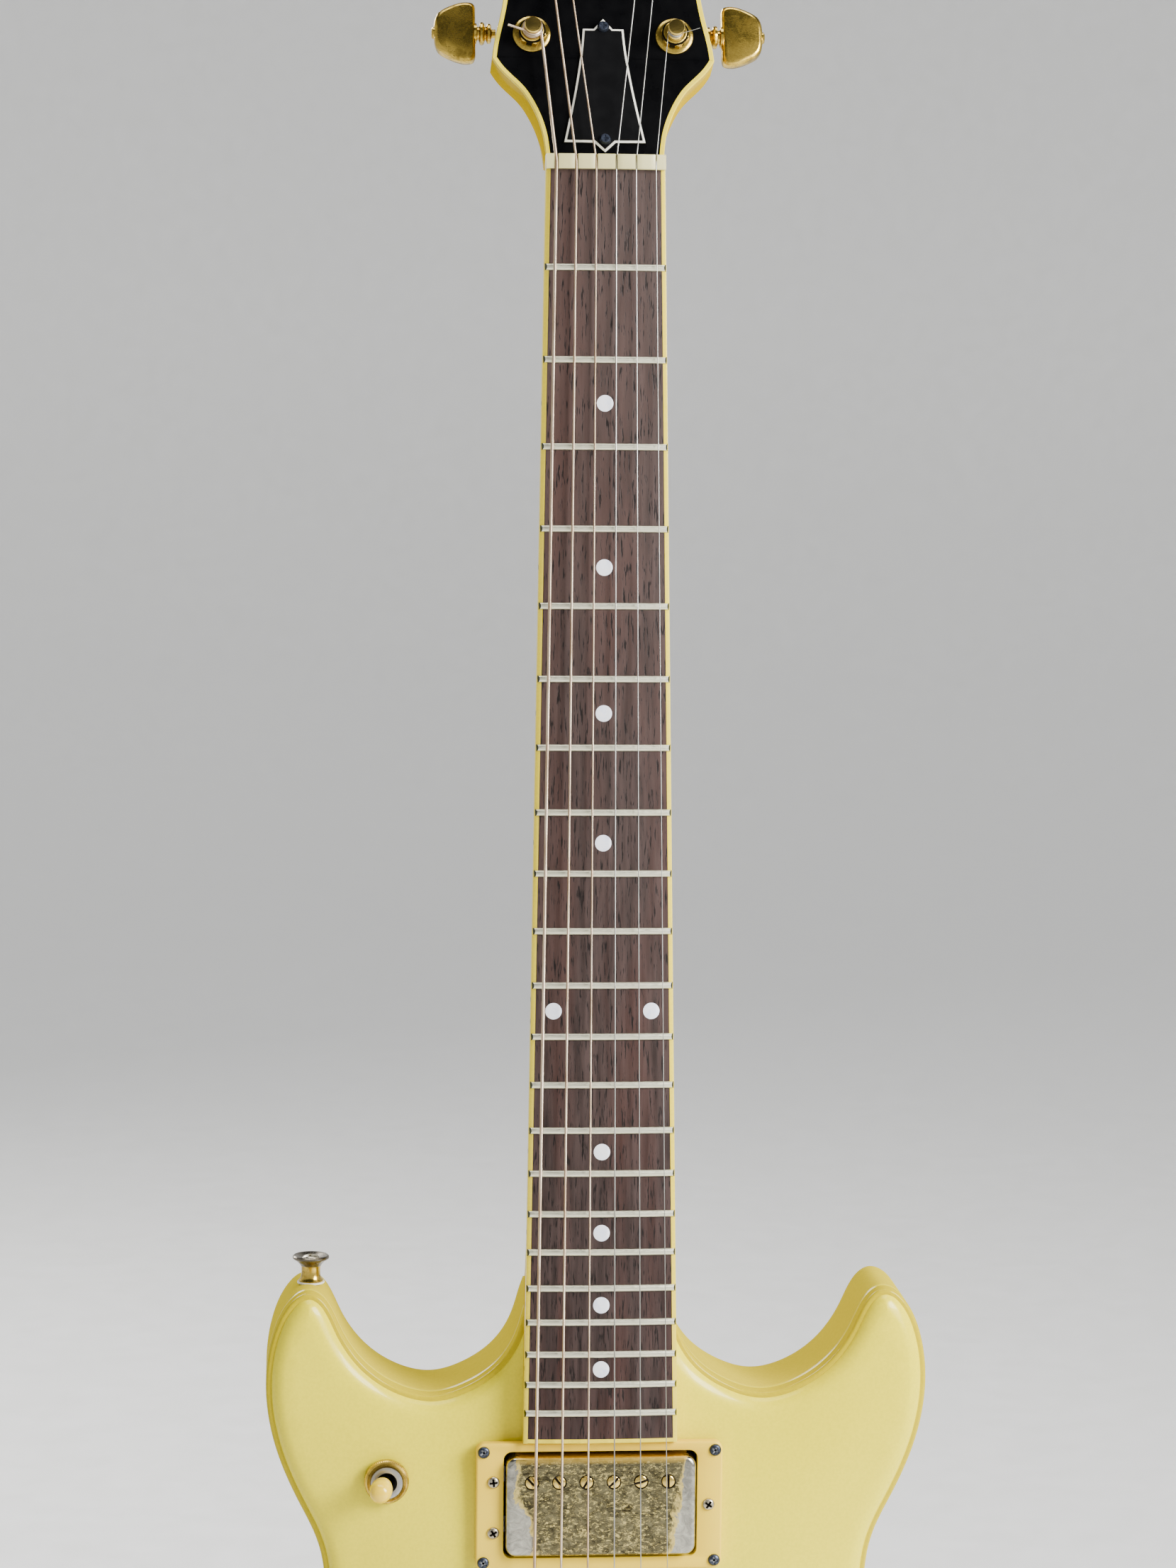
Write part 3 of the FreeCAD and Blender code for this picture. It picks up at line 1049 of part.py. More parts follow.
lever_tip = turned("lever_tip", [
    (0, 0), (tip_r - 1.0, 0), (tip_r - 0.2, 1.2), (tip_r, 4.0), (tip_r, tip_length - 4.0),
    (tip_r - 0.7, tip_length - 1.9), (tip_r - 2.1, tip_length - 0.5), (0, tip_length)],
    (SWITCH[0], TIP_BASE, SWITCH[1]), FRONT)
lever_foot = SWITCH_PIVOT_Y + 5
lever_rod = rod("lever_rod", 1.6, lever_foot - TIP_BASE + 3, (SWITCH[0], lever_foot, SWITCH[1]), FRONT)
lever_pin = rod("lever_pin", 0.8, 7.6, (SWITCH[0], SWITCH_PIVOT_Y, SWITCH[1] - 3.8), UP)
pivot = Vector(SWITCH[0], SWITCH_PIVOT_Y, SWITCH[1])
keep(join("switch_lever", [lever_tip, lever_rod, lever_pin]), "switch_lever",
     Placement(Vector(), Rotation(UP, SWITCH_LEAN), pivot))

control_lid = plate("control_lid", control_w + 11.6, control_h + 11.6, 15.8, 1.95, (control_x, control_z),
                    BACK_Y - 1.97)


def lid_holes(name, places):
    """A screw hole and a wider seat for the head at each place, through a lid on the back."""
    holes = []
    for n, (x, z) in enumerate(places):
        holes.append(rod("%s_hole_%d" % (name, n), 1.6, 6.0, (x, BACK_Y - 4, z), BACK))
        holes.append(rod("%s_seat_%d" % (name, n), 2.75, 3.0, (x, LID_SEAT_Y, z), BACK))
    return holes


LID_SEAT_Y = BACK_Y - 1.35
switch_lid = rod("switch_lid", 25.8, 1.95, (SWITCH[0], BACK_Y - 1.97, SWITCH[1]), BACK)
control_cover = cut("control_cover", control_lid, lid_holes("control_lid", CONTROL_SCREWS))
switch_cover = cut("switch_cover", switch_lid, lid_holes("switch_lid", SWITCH_SCREWS))
keep(group("back_covers", [control_cover, switch_cover]), "back_covers")

jack_plate_blank = block("jack_plate_blank", (1.6, 25.0, 40.0), (JACK_FLAT_X + 0.82, 0, JACK_Z))
jack_plate_bore = rod("jack_plate_bore", 4.8, 6.0, (JACK_FLAT_X - 2, 0, JACK_Z), RIGHT)
plate_holes = [rod("plate_screw_hole_%d" % n, 1.6, 6.0, (JACK_FLAT_X - 2, 0, JACK_Z + dz), RIGHT)
               for n, dz in enumerate(JACK_SCREWS)]
keep(cut("jack_plate", jack_plate_blank, [jack_plate_bore] + plate_holes), "jack_plate")
JACK_MOUTH_X = JACK_FLAT_X + 4.6
jack_tube = rod("jack_tube", "jack_radius", 14.0, (JACK_MOUTH_X, 0, JACK_Z), Vector(-1, 0, 0))
jack_nut = hexagon("jack_nut", 7.0, 2.2, (JACK_FLAT_X + 1.64, 0, JACK_Z), RIGHT)
jack_flange = rod("jack_flange", 8.0, 1.5, (JACK_MOUTH_X - 8.0, 0, JACK_Z), Vector(-1, 0, 0))
jack_spring = block("jack_spring", (22.0, 0.8, 5.0), (JACK_MOUTH_X - 20.0, 6.6, JACK_Z))
jack_through = rod("jack_through", "jack_bore", 40.0, (JACK_MOUTH_X + 2, 0, JACK_Z), Vector(-1, 0, 0))
jack_body = join("jack_body", [jack_tube, jack_nut, jack_flange, jack_spring])
keep(cut("jack_socket", jack_body, [jack_through]), "jack_socket")

cover_screws = []
for n, z in enumerate(COVER_SCREWS):
    item = phillips_screw("truss_screw_%d" % n, 2.2, 1.4, 1.6 + COVER_SCREW_TIP, Vector(0, -1.6, z), FRONT)
    item.Placement = HEAD
    cover_screws.append(item)
for n, (x, z) in enumerate(CONTROL_SCREWS + SWITCH_SCREWS):
    seat = Vector(x, LID_SEAT_Y + 0.01, z)
    cover_screws.append(phillips_screw("lid_screw_%d" % n, 2.6, 1.45, 8.0, seat, BACK))
for n, dz in enumerate(JACK_SCREWS):
    seat = Vector(JACK_FLAT_X + 1.64, 0, JACK_Z + dz)
    cover_screws.append(phillips_screw("jack_screw_%d" % n, 2.4, 1.45, 11.0, seat, RIGHT))
keep(group("cover_screws", cover_screws), "cover_screws")

strap_items = []
for n, (seat, outward) in enumerate(STRAP_SEATS):
    tall = size("strap_height")
    wide = size("strap_head_radius")
    button = turned("strap_turning_%d" % n, [
        (1.6, 0.8), (4.6, 0.8), (4.6, 1.4), (3.7, 2.4), (3.5, tall - 4.6), (4.4, tall - 2.6),
        (wide, tall - 1.2), (wide, tall), (wide - 0.8, tall + 0.1), (3.4, tall - 1.0), (1.6, tall - 2.2)],
        seat, outward)
    felt = turned("strap_felt_%d" % n, [(1.6, 0.05), (5.1, 0.05), (5.1, 0.75), (1.6, 0.75)], seat, outward)
    screw_seat = Vector(seat) + Vector(outward) * (tall - 1.0)
    screw = phillips_screw("strap_screw_%d" % n, 3.2, 1.45, STRAP_SCREW + tall - 2.0, screw_seat, outward)
    strap_items += [button, felt, screw]
keep(group("strap_buttons", strap_items), "strap_buttons")

wires = [along_run("wire_%d" % n, 1.6, run, 0.5) for n, run in enumerate(WIRE_RUNS)]
keep(group("wiring", wires), "wiring")

# ------------------------------------------------------------------------------------------- export

doc.recompute()
for item in doc.Objects:
    if "Invalid" in item.State or "Error" in item.State:
        raise RuntimeError("failed object: " + item.Name)
for name, item in nodes.items():
    if item.Shape.isNull() or not item.Shape.isValid():
        raise RuntimeError("bad shape: " + name)
os.makedirs("parts", exist_ok=True)
for name, item in nodes.items():
    item.Shape.exportStep("parts/%s.step" % name)
    box = item.Shape.BoundBox
    count, volume = len(item.Shape.Solids), item.Shape.Volume
    print("%-26s solids %2d  volume %9.0f  z %7.1f %7.1f" % (name, count, volume, box.ZMin, box.ZMax))
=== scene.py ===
import math

import bmesh
import bpy
import numpy as np
from mathutils import Matrix, Vector
from mathutils.geometry import delaunay_2d_cdt


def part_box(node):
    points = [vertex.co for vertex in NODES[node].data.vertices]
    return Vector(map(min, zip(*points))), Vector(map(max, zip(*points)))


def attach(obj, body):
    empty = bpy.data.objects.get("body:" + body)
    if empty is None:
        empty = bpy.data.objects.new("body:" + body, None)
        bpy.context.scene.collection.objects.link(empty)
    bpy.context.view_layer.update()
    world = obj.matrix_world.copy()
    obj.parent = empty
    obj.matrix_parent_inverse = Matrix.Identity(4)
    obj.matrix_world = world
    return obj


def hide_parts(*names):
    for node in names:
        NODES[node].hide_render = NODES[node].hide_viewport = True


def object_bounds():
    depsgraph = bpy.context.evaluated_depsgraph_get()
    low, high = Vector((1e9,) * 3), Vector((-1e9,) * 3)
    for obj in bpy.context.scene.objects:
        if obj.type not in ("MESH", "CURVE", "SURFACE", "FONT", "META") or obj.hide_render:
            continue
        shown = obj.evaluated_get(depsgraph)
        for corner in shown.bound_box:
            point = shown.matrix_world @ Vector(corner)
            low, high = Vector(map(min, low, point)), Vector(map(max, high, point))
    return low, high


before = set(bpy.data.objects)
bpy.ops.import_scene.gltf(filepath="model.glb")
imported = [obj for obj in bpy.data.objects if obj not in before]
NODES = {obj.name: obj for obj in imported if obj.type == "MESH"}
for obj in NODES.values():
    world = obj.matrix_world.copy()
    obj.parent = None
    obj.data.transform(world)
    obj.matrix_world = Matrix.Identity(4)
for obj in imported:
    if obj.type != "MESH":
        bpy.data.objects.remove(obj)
cad_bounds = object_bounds()

# Lengths are millimetres until a mesh is made, except where a comment says metres, as in the frame.
MM = 0.001

# ------------------------------------------------------------------------- dimensions and frames

SCALE_LENGTH = 628.0
FRET_COUNT = 22
NECK_ANGLE = math.radians(3.83)
HEAD_ANGLE = math.radians(14.0)
BOARD_FRONT, BOARD_Z = -34.23, 366.0
HALF_NUT, HALF_BOARD = 21.63, 28.11
BOARD_THICK, BOARD_RADIUS, BOARD_START = 6.0, 305.0, -11.2
EDGE = 1.6
NUT_THICK, STRING_RISE = 5.3, 1.6
RIM_Y, BACK_Y, SEAM_Y, TOP_Y = -20.5, 20.5, -14.5, -27.5
VENEER, HEAD_DEPTH = 1.2, 14.0
FRET_22 = SCALE_LENGTH * (1 - 2 ** (-FRET_COUNT / 12))
NUT_BACK = FRET_22 + NUT_THICK
STRING_RADII = (0.61, 0.47, 0.36, 0.24, 0.19, 0.15)
TUNER_ROWS = ((26.1, 46.6), (23.4, 84.4), (21.8, 122.2))
SWITCH_X, SWITCH_Z = -77.9, 339.7
FRONT = (0, -1, 0)
KNOBS = ((76.0, 146.0), (113.0, 124.0), (76.0, 100.0), (110.0, 78.0))


def rotation_x(angle):
    """The matrix of a turn about the sideways axis."""
    return np.array(Matrix.Rotation(angle, 3, "X"))


NECK_TURN = rotation_x(-NECK_ANGLE)
HEAD_TURN = NECK_TURN @ rotation_x(-HEAD_ANGLE)
NECK_BASE = np.array([0.0, BOARD_FRONT, BOARD_Z])
HEAD_BASE = NECK_BASE + NECK_TURN @ np.array([0.0, 5.0, NUT_BACK])


def neck(points):
    """Points beside the neck (across, behind the fingerboard's front, up from the last fret)."""
    return np.atleast_2d(points) @ NECK_TURN.T + NECK_BASE


def head(points):
    """Points on the headstock (across, behind its face, up from the nut's back)."""
    return np.atleast_2d(points) @ HEAD_TURN.T + HEAD_BASE


def to_fret(number):
    """How far a fret lies from the nut."""
    return SCALE_LENGTH * (1 - 2 ** (-number / 12))


def half_width(up_neck):
    """Half the fingerboard's width at a distance up from the last fret."""
    return HALF_BOARD - (HALF_BOARD - HALF_NUT) * up_neck / FRET_22


def crown_y(across):
    """Depth of the fingerboard's curved front at a sideways place."""
    return BOARD_RADIUS - np.sqrt(BOARD_RADIUS ** 2 - np.square(across))


# ---------------------------------------------------------------------------------- node trees

class Tree:
    """A small helper that adds and links the nodes of one material."""

    def __init__(self, name):
        self.material = bpy.data.materials.new(name)
        self.material.use_nodes = True
        self.nodes = self.material.node_tree.nodes
        self.links = self.material.node_tree.links
        self.shader = self.nodes["Principled BSDF"]

    def add(self, kind, **settings):
        node = self.nodes.new(kind)
        for key, value in settings.items():
            setattr(node, key, value)
        return node

    def join(self, source, target):
        self.links.new(source, target)

    def set(self, **values):
        for key, value in values.items():
            self.shader.inputs[key.replace("_", " ")].default_value = value

    def feed(self, node, **inputs):
        """Gives a node's inputs a number, a colour or another node's output."""
        for key, value in inputs.items():
            socket = node.inputs[key.replace("_", " ")]
            if isinstance(value, bpy.types.NodeSocket):
                self.join(value, socket)
            elif socket.type == "RGBA":
                socket.default_value = (*value, 1)
            else:
                socket.default_value = value

    def coords(self, kind):
        return self.add("ShaderNodeTexCoord").outputs[kind]

    def axis(self, vector, letter):
        """One coordinate of a vector."""
        split = self.add("ShaderNodeSeparateXYZ")
        self.join(vector, split.inputs["Vector"])
        return split.outputs[letter]

    def place(self, scale=(1, 1, 1), turn=(0, 0, 0)):
        """Rest-position coordinates, stretched or turned."""
        mapping = self.add("ShaderNodeMapping")
        self.feed(mapping, Vector=self.coords("Object"), Scale=scale, Rotation=turn)
        return mapping.outputs["Vector"]

    def noise(self, vector, scale, detail=3.0, rough=0.5, distort=0.0):
        node = self.add("ShaderNodeTexNoise")
        self.feed(node, Vector=vector, Scale=scale, Detail=detail, Roughness=rough, Distortion=distort)
        return node.outputs["Fac"]

    def ramp(self, factor, *stops):
        node = self.add("ShaderNodeValToRGB")
        element = node.color_ramp.elements
        while len(element) < len(stops):
            element.new(0.5)
        for slot, (position, value) in zip(element, stops):
            slot.position = position
            slot.color = (value, value, value, 1) if isinstance(value, (int, float)) else (*value, 1)
        self.join(factor, node.inputs["Fac"])
        return node.outputs["Color"]

    def mix(self, factor, first, second, blend="MIX"):
        node = self.add("ShaderNodeMix", data_type="RGBA", blend_type=blend)
        self.feed(node, Factor=factor, A=first, B=second)
        return node.outputs["Result"]

    def math(self, operation, first, second=0.0):
        node = self.add("ShaderNodeMath", operation=operation)
        for value, socket in zip((first, second), node.inputs):
            if isinstance(value, (int, float)):
                socket.default_value = value
            else:
                self.join(value, socket)
        return node.outputs["Value"]

    def bump(self, height, strength, distance):
        node = self.add("ShaderNodeBump")
        self.feed(node, Strength=strength, Distance=distance * MM, Height=height)
        self.join(node.outputs["Normal"], self.shader.inputs["Normal"])

    def colour(self, value):
        self.join(value, self.shader.inputs["Base Color"])

    def roughness(self, value):
        self.join(value, self.shader.inputs["Roughness"])


def srgb(red, green, blue):
    """A display colour, 0 to 255, as the linear colour that a shader takes."""
    def linear(channel):
        value = channel / 255
        return value / 12.92 if value <= 0.04045 else ((value + 0.055) / 1.055) ** 2.4
    return (linear(red), linear(green), linear(blue))


def lacquer(name, low, high, gloss=0.28, wall=None, shine=0.25):
    """Aged lacquer: slow colour drift, a faint fleck, a clear coat and orange peel.

    Sides that face away from the front take the wall tone, darker on the body and neck, which is painted
    shade; they also shine less than the front.
    """
    tree = Tree(name)
    drift = tree.noise(tree.place(), 9.0, 2.0)
    fleck = tree.noise(tree.place(), 900.0, 2.0)
    tone = tree.mix(tree.ramp(drift, (0.3, 0.0), (0.7, 1.0)), low, high)
    # Painted shade: surfaces that face sideways take the wall tone instead of the front's colour.
    if wall:
        flat = tree.math("ABSOLUTE", tree.axis(tree.coords("Normal"), "Y"))
        front = tree.ramp(flat, (0.12, 0.0), (0.36, 1.0))
        tone = tree.mix(front, wall, tone)
    speck = tree.ramp(fleck, (0.35, 0.93), (0.65, 1.0))
    tree.colour(tree.mix(1.0, tone, speck, "MULTIPLY"))
    tree.roughness(tree.ramp(drift, (0.3, gloss - 0.04), (0.7, gloss + 0.06)))
    tree.set(Coat_Weight=shine, Coat_Roughness=0.08, Specular_IOR_Level=shine)
    if wall:
        for socket in ("Coat Weight", "Specular IOR Level"):
            tree.join(tree.math("MULTIPLY", front, shine), tree.shader.inputs[socket])
    tree.bump(tree.noise(tree.place(), 260.0, 1.5), 0.12, 0.12)
    return tree.material


def plastic(name, low, high, rough, coat=0.0, grain=420.0, shine=0.5):
    """Moulded plastic with a slight cast colour drift and fine moulding grain."""
    tree = Tree(name)
    drift = tree.noise(tree.place(), 30.0, 3.0)
    tree.colour(tree.mix(tree.ramp(drift, (0.3, 0.0), (0.7, 1.0)), low, high))
    grime_and_shade = tree.noise(tree.place(), 180.0, 4.0)
    tree.roughness(tree.ramp(grime_and_shade, (0.3, rough - 0.06), (0.7, rough + 0.10)))
    tree.set(Coat_Weight=coat, Coat_Roughness=0.15, Specular_IOR_Level=shine)
    tree.bump(tree.noise(tree.place(), grain, 3.0), 0.10, 0.05)
    return tree.material


def metal(name, clean, dull, rough=0.2, spots=0.45, scale=260.0, scratch=0.4, ends=None):
    """Plated metal with cloudy tarnish, small spots and fine handling scratches; faces that turn sideways may
    take a darker ends tone, which is painted shade.
    """
    tree = Tree(name)
    cloud = tree.noise(tree.place(), scale * 0.35, 5.0, 0.65, 0.6)
    spot = tree.noise(tree.place(), scale * 2.2, 4.0, 0.7, 0.3)
    aged = tree.math("MULTIPLY", tree.ramp(cloud, (0.42, 0.0), (0.66, 1.0)), spots)
    pit = tree.math("MULTIPLY", tree.ramp(spot, (0.58, 0.0), (0.66, 1.0)), spots)
    wear = tree.math("MAXIMUM", aged, pit)
    tone = tree.mix(wear, clean, dull)
    # Painted shade: faces that turn sideways, such as the fret ends, take the darker ends tone.
    if ends:
        sideways = tree.math("ABSOLUTE", tree.axis(tree.coords("Normal"), "X"))
        tone = tree.mix(tree.ramp(sideways, (0.35, 0.0), (0.60, 1.0)), tone, ends)
    tree.colour(tone)
    scratches = tree.noise(tree.place((1, 1, 14), (0.5, 0.9, 0.3)), scale * 3.0, 2.0)
    fine = tree.ramp(scratches, (0.35, rough * 0.75), (0.7, rough * 1.5))
    tree.roughness(tree.math("ADD", fine, tree.math("MULTIPLY", wear, 0.22)))
    tree.set(Metallic=1.0)
    tree.bump(scratches, 0.05 * scratch, 0.05)
    return tree.material


def rosewood():
    """Open-grained rosewood: long streaks, short dark pores, greyer and lighter towards the nut, from wear
    and a painted sheen.
    """
    tree = Tree("rosewood")
    streak = tree.noise(tree.place((1.0, 1.0, 0.035)), 420.0, 6.0, 0.62, 0.25)
    broad = tree.noise(tree.place((1.0, 1.0, 0.06)), 90.0, 3.0, 0.5, 0.4)
    pore = tree.noise(tree.place((1.0, 1.0, 0.075)), 1500.0, 3.0, 0.6, 0.1)
    pore_mask = tree.ramp(pore, (0.56, 0.0), (0.63, 1.0))
    base = tree.mix(tree.ramp(streak, (0.32, 0.0), (0.68, 1.0)), srgb(31, 22, 20), srgb(66, 52, 49))
    warm = tree.mix(tree.ramp(broad, (0.40, 0.0), (0.75, 0.6)), base, srgb(72, 39, 31))
    # Greyer and lighter towards the nut: partly wear, partly a painted sheen.
    high = tree.add("ShaderNodeMapRange")
    tree.feed(high, Value=tree.axis(tree.place(), "Z"), From_Min=0.36, From_Max=0.80)
    worn = tree.mix(tree.math("MULTIPLY", high.outputs["Result"], 0.45), warm, srgb(80, 65, 60))
    tree.colour(tree.mix(pore_mask, worn, srgb(22, 14, 12)))
    tree.set(Specular_IOR_Level=0.2)
    tree.roughness(tree.ramp(streak, (0.3, 0.42), (0.7, 0.58)))
    depth = tree.math("SUBTRACT", streak, tree.math("MULTIPLY", pore_mask, 0.9))
    tree.bump(depth, 0.35, 0.12)
    return tree.material


def pearl():
    """Pale inlay with a faint cool swirl."""
    tree = Tree("pearl_inlay")
    swirl = tree.noise(tree.place((1, 1, 0.6), (0.3, 0.5, 0.2)), 260.0, 3.0, 0.5, 1.5)
    tree.colour(tree.ramp(swirl, (0.3, srgb(222, 226, 246)), (0.5, srgb(240, 242, 250)),
                          (0.7, srgb(246, 244, 248))))
    tree.set(Roughness=0.18, Coat_Weight=0.5, Sheen_Weight=0.1)
    tree.bump(swirl, 0.05, 0.02)
    return tree.material


def worn_cover():
    """Gold plating on a pickup cover: worn to nickel past a ragged border near both ends, with a painted
    highlight along its top edge.
    """
    gold_half = 25.3 * MM
    tree = Tree("worn_gold_cover")
    across = tree.axis(tree.place(), "X")
    rise = tree.axis(tree.coords("Generated"), "Z")
    ragged = tree.math("SUBTRACT", tree.noise(tree.place((1, 1, 0.6)), 210.0, 7.0, 0.68, 0.4), 0.5)
    shake = tree.math("MULTIPLY", ragged, 12.0 * MM)
    upper = tree.ramp(rise, (0.35, 0.0), (0.60, 1.0))
    right_edge = tree.math("ADD", gold_half, tree.math("MULTIPLY", rise, 6.2 * MM))
    left_edge = tree.math("ADD", gold_half, tree.math("MULTIPLY", upper, 5.0 * MM))
    right_way = tree.math("SUBTRACT", across, right_edge)
    left_way = tree.math("SUBTRACT", tree.math("MULTIPLY", across, -1.0), left_edge)
    past = tree.math("ADD", tree.math("MAXIMUM", right_way, left_way), shake)
    nickel = tree.ramp(tree.math("ADD", tree.math("MULTIPLY", past, 900.0), 0.5), (0.35, 0.0), (0.65, 1.0))
    border = tree.ramp(tree.math("ADD", tree.math("MULTIPLY", past, 420.0), 0.9), (0.1, 0.0), (0.6, 0.8))
    cloud = tree.noise(tree.place((1, 1, 1.3), (0.0, 0.5, 0.0)), 210.0, 9.0, 0.74, 1.0)
    flake = tree.noise(tree.place((1, 1, 1.8), (0.0, 0.6, 0.0)), 640.0, 8.0, 0.75, 0.5)
    dark = tree.mix(tree.ramp(cloud, (0.38, 0.0), (0.64, 1.0)), srgb(56, 52, 38), srgb(124, 117, 88))
    gold = tree.mix(tree.ramp(flake, (0.54, 0.0), (0.59, 1.0)), dark, srgb(208, 190, 122))
    burnt = tree.noise(tree.place(), 150.0, 7.0, 0.75)
    pitted = tree.mix(tree.ramp(burnt, (0.58, 0.0), (0.64, 0.8)), gold, srgb(38, 32, 20))
    lined = tree.mix(border, pitted, srgb(232, 208, 124))
    scratches = tree.noise(tree.place((1, 1, 22), (0.0, 0.95, 0.0)), 620.0, 4.0, 0.6)
    scuffs = tree.noise(tree.place((1, 1, 30), (0.0, -0.5, 0.0)), 380.0, 3.0, 0.6)
    bright = tree.math("MAXIMUM", tree.ramp(scratches, (0.62, 0.0), (0.66, 0.6)),
                       tree.ramp(scuffs, (0.64, 0.0), (0.67, 0.7)))
    scored = tree.mix(bright, lined, srgb(188, 172, 118))
    # Painted highlight: a brighter gold band along the cover's top edge.
    top_highlight = tree.ramp(rise, (0.93, 0.0), (0.97, 0.75))
    highlighted = tree.mix(top_highlight, scored, srgb(206, 172, 78))
    silver = tree.mix(tree.ramp(cloud, (0.35, 0.0), (0.7, 1.0)), srgb(128, 126, 118), srgb(200, 196, 180))
    tree.colour(tree.mix(nickel, highlighted, silver))
    rough_gold = tree.ramp(cloud, (0.35, 0.46), (0.7, 0.30))
    tree.roughness(tree.mix(nickel, rough_gold, tree.ramp(flake, (0.3, 0.14), (0.7, 0.26))))
    tree.set(Metallic=1.0)
    plated = tree.math("MULTIPLY", tree.math("SUBTRACT", 1.0, nickel), 0.7)
    tree.bump(tree.math("ADD", plated, tree.math("MULTIPLY", flake, 0.5)), 0.3, 0.05)
    return tree.material


def string_metal(name, low, high, pitch):
    """Wire; a wound string's fine turns follow its length."""
    tree = Tree(name)
    grime_and_shade = tree.noise(tree.place((1, 1, 0.2)), 300.0, 3.0)
    tree.colour(tree.mix(tree.ramp(grime_and_shade, (0.35, 0.0), (0.65, 1.0)), low, high))
    tree.set(Metallic=1.0, Roughness=0.30)
    if pitch:
        turns = tree.add("ShaderNodeTexWave", wave_type="BANDS", bands_direction="Z", wave_profile="SIN")
        tree.feed(turns, Vector=tree.place(), Scale=0.314 / (pitch * MM))
        tree.bump(turns.outputs["Fac"], 0.5, 0.08)
    else:
        tree.bump(grime_and_shade, 0.05, 0.02)
    return tree.material


def floor_paper():
    """Pale matt paper that gives off a little light, as a lit backdrop does."""
    tree = Tree("pale_floor")
    grain = tree.noise(tree.place(), 40.0, 3.0)
    tree.colour(tree.mix(tree.ramp(grain, (0.3, 0.0), (0.7, 1.0)), srgb(222, 221, 217), srgb(230, 229, 226)))
    tree.set(Roughness=0.8, Emission_Color=(0.97, 0.98, 1.0, 1.0), Emission_Strength=0.32)
    return tree.material


# The wall colours below are painted shade for the sides of the body, binding and neck.
CREAM = lacquer("cream_lacquer", srgb(222, 206, 12), srgb(233, 217, 26), wall=srgb(194, 174, 40))
BINDING = lacquer("yellow_binding", srgb(180, 160, 0), srgb(194, 174, 2), 0.22,
                  wall=srgb(188, 168, 24), shine=0.1)
BOARD_BINDING = lacquer("board_binding", srgb(222, 198, 44), srgb(230, 207, 60), 0.28, shine=0.15)
NECK_LACQUER = lacquer("neck_lacquer", srgb(190, 160, 2), srgb(204, 174, 10), 0.24,
                       wall=srgb(184, 154, 6), shine=0.1)
ROSEWOOD = rosewood()
PEARL = pearl()
IVORY = plastic("nut_ivory", srgb(190, 180, 122), srgb(210, 202, 146), 0.34, 0.2)
BLACK_LACQUER = plastic("black_lacquer", srgb(4, 4, 5), srgb(7, 7, 8), 0.30, 0.0, 300.0, 0.06)
BLACK_PLASTIC = plastic("black_plastic", srgb(8, 8, 9), srgb(13, 13, 14), 0.34, 0.0, 420.0, 0.08)
WHITE_PLY = plastic("white_ply", srgb(214, 210, 194), srgb(226, 223, 210), 0.35)
CREAM_PLASTIC = plastic("cream_plastic", srgb(230, 190, 34), srgb(238, 202, 46), 0.42, 0.0, 420.0, 0.35)
TIP_PLASTIC = plastic("tip_plastic", srgb(236, 196, 28), srgb(242, 208, 50), 0.22, 0.3)
GOLD = metal("gold_plate", srgb(212, 180, 82), srgb(84, 66, 22), 0.17, 0.75, 420.0)
GOLD_CLEAN = metal("gold_plate_clean", srgb(226, 196, 106), srgb(140, 112, 50), 0.14, 0.35, 420.0)
# The fret ends' darker tone is painted shade.
FRET_METAL = metal("fret_nickel", srgb(226, 224, 200), srgb(186, 180, 146), 0.36, 0.2, 300.0, 0.1,
                   ends=srgb(70, 72, 52))
NICKEL = metal("nickel_screw", srgb(196, 188, 166), srgb(104, 92, 70), 0.25, 0.6, 420.0)
BLACK_STEEL = metal("black_screw", srgb(70, 76, 90), srgb(26, 27, 32), 0.34, 0.5, 420.0)
STEEL = metal("plain_steel", srgb(170, 170, 166), srgb(112, 108, 100), 0.32, 0.4)
COVER_GOLD = worn_cover()
WOUND = string_metal("wound_string", srgb(176, 150, 122), srgb(208, 190, 168), 0.32)
PLAIN = string_metal("plain_string", srgb(170, 168, 160), srgb(206, 205, 200), 0.0)
FELT = plastic("felt_washer", srgb(206, 202, 188), srgb(226, 222, 210), 0.95, 0.0, 900.0, 0.1)
# Nickel made darker overall to paint the dark reflections on the strap heads and switch sleeve: painted
# reflection.
NICKEL_DARK_REFLECTION = metal("nickel_dark_reflection", srgb(120, 112, 98), srgb(58, 52, 42), 0.22, 0.5, 420.0)
# Near-black painted shade for the bottoms of screw crosses and pole screw slots.
RECESS_SHADE = plastic("recess_grime", srgb(16, 12, 9), srgb(30, 24, 18), 0.8, 0.0, 420.0, 0.1)
# Light grey for the crosses of the black ring screws.
GREY_RECESS = plastic("grey_recess", srgb(120, 124, 128), srgb(158, 160, 160), 0.5, 0.0, 420.0, 0.1)
CABLE = plastic("cable", srgb(24, 24, 26), srgb(36, 36, 38), 0.5)


# ------------------------------------------------------------------------------- mesh helpers

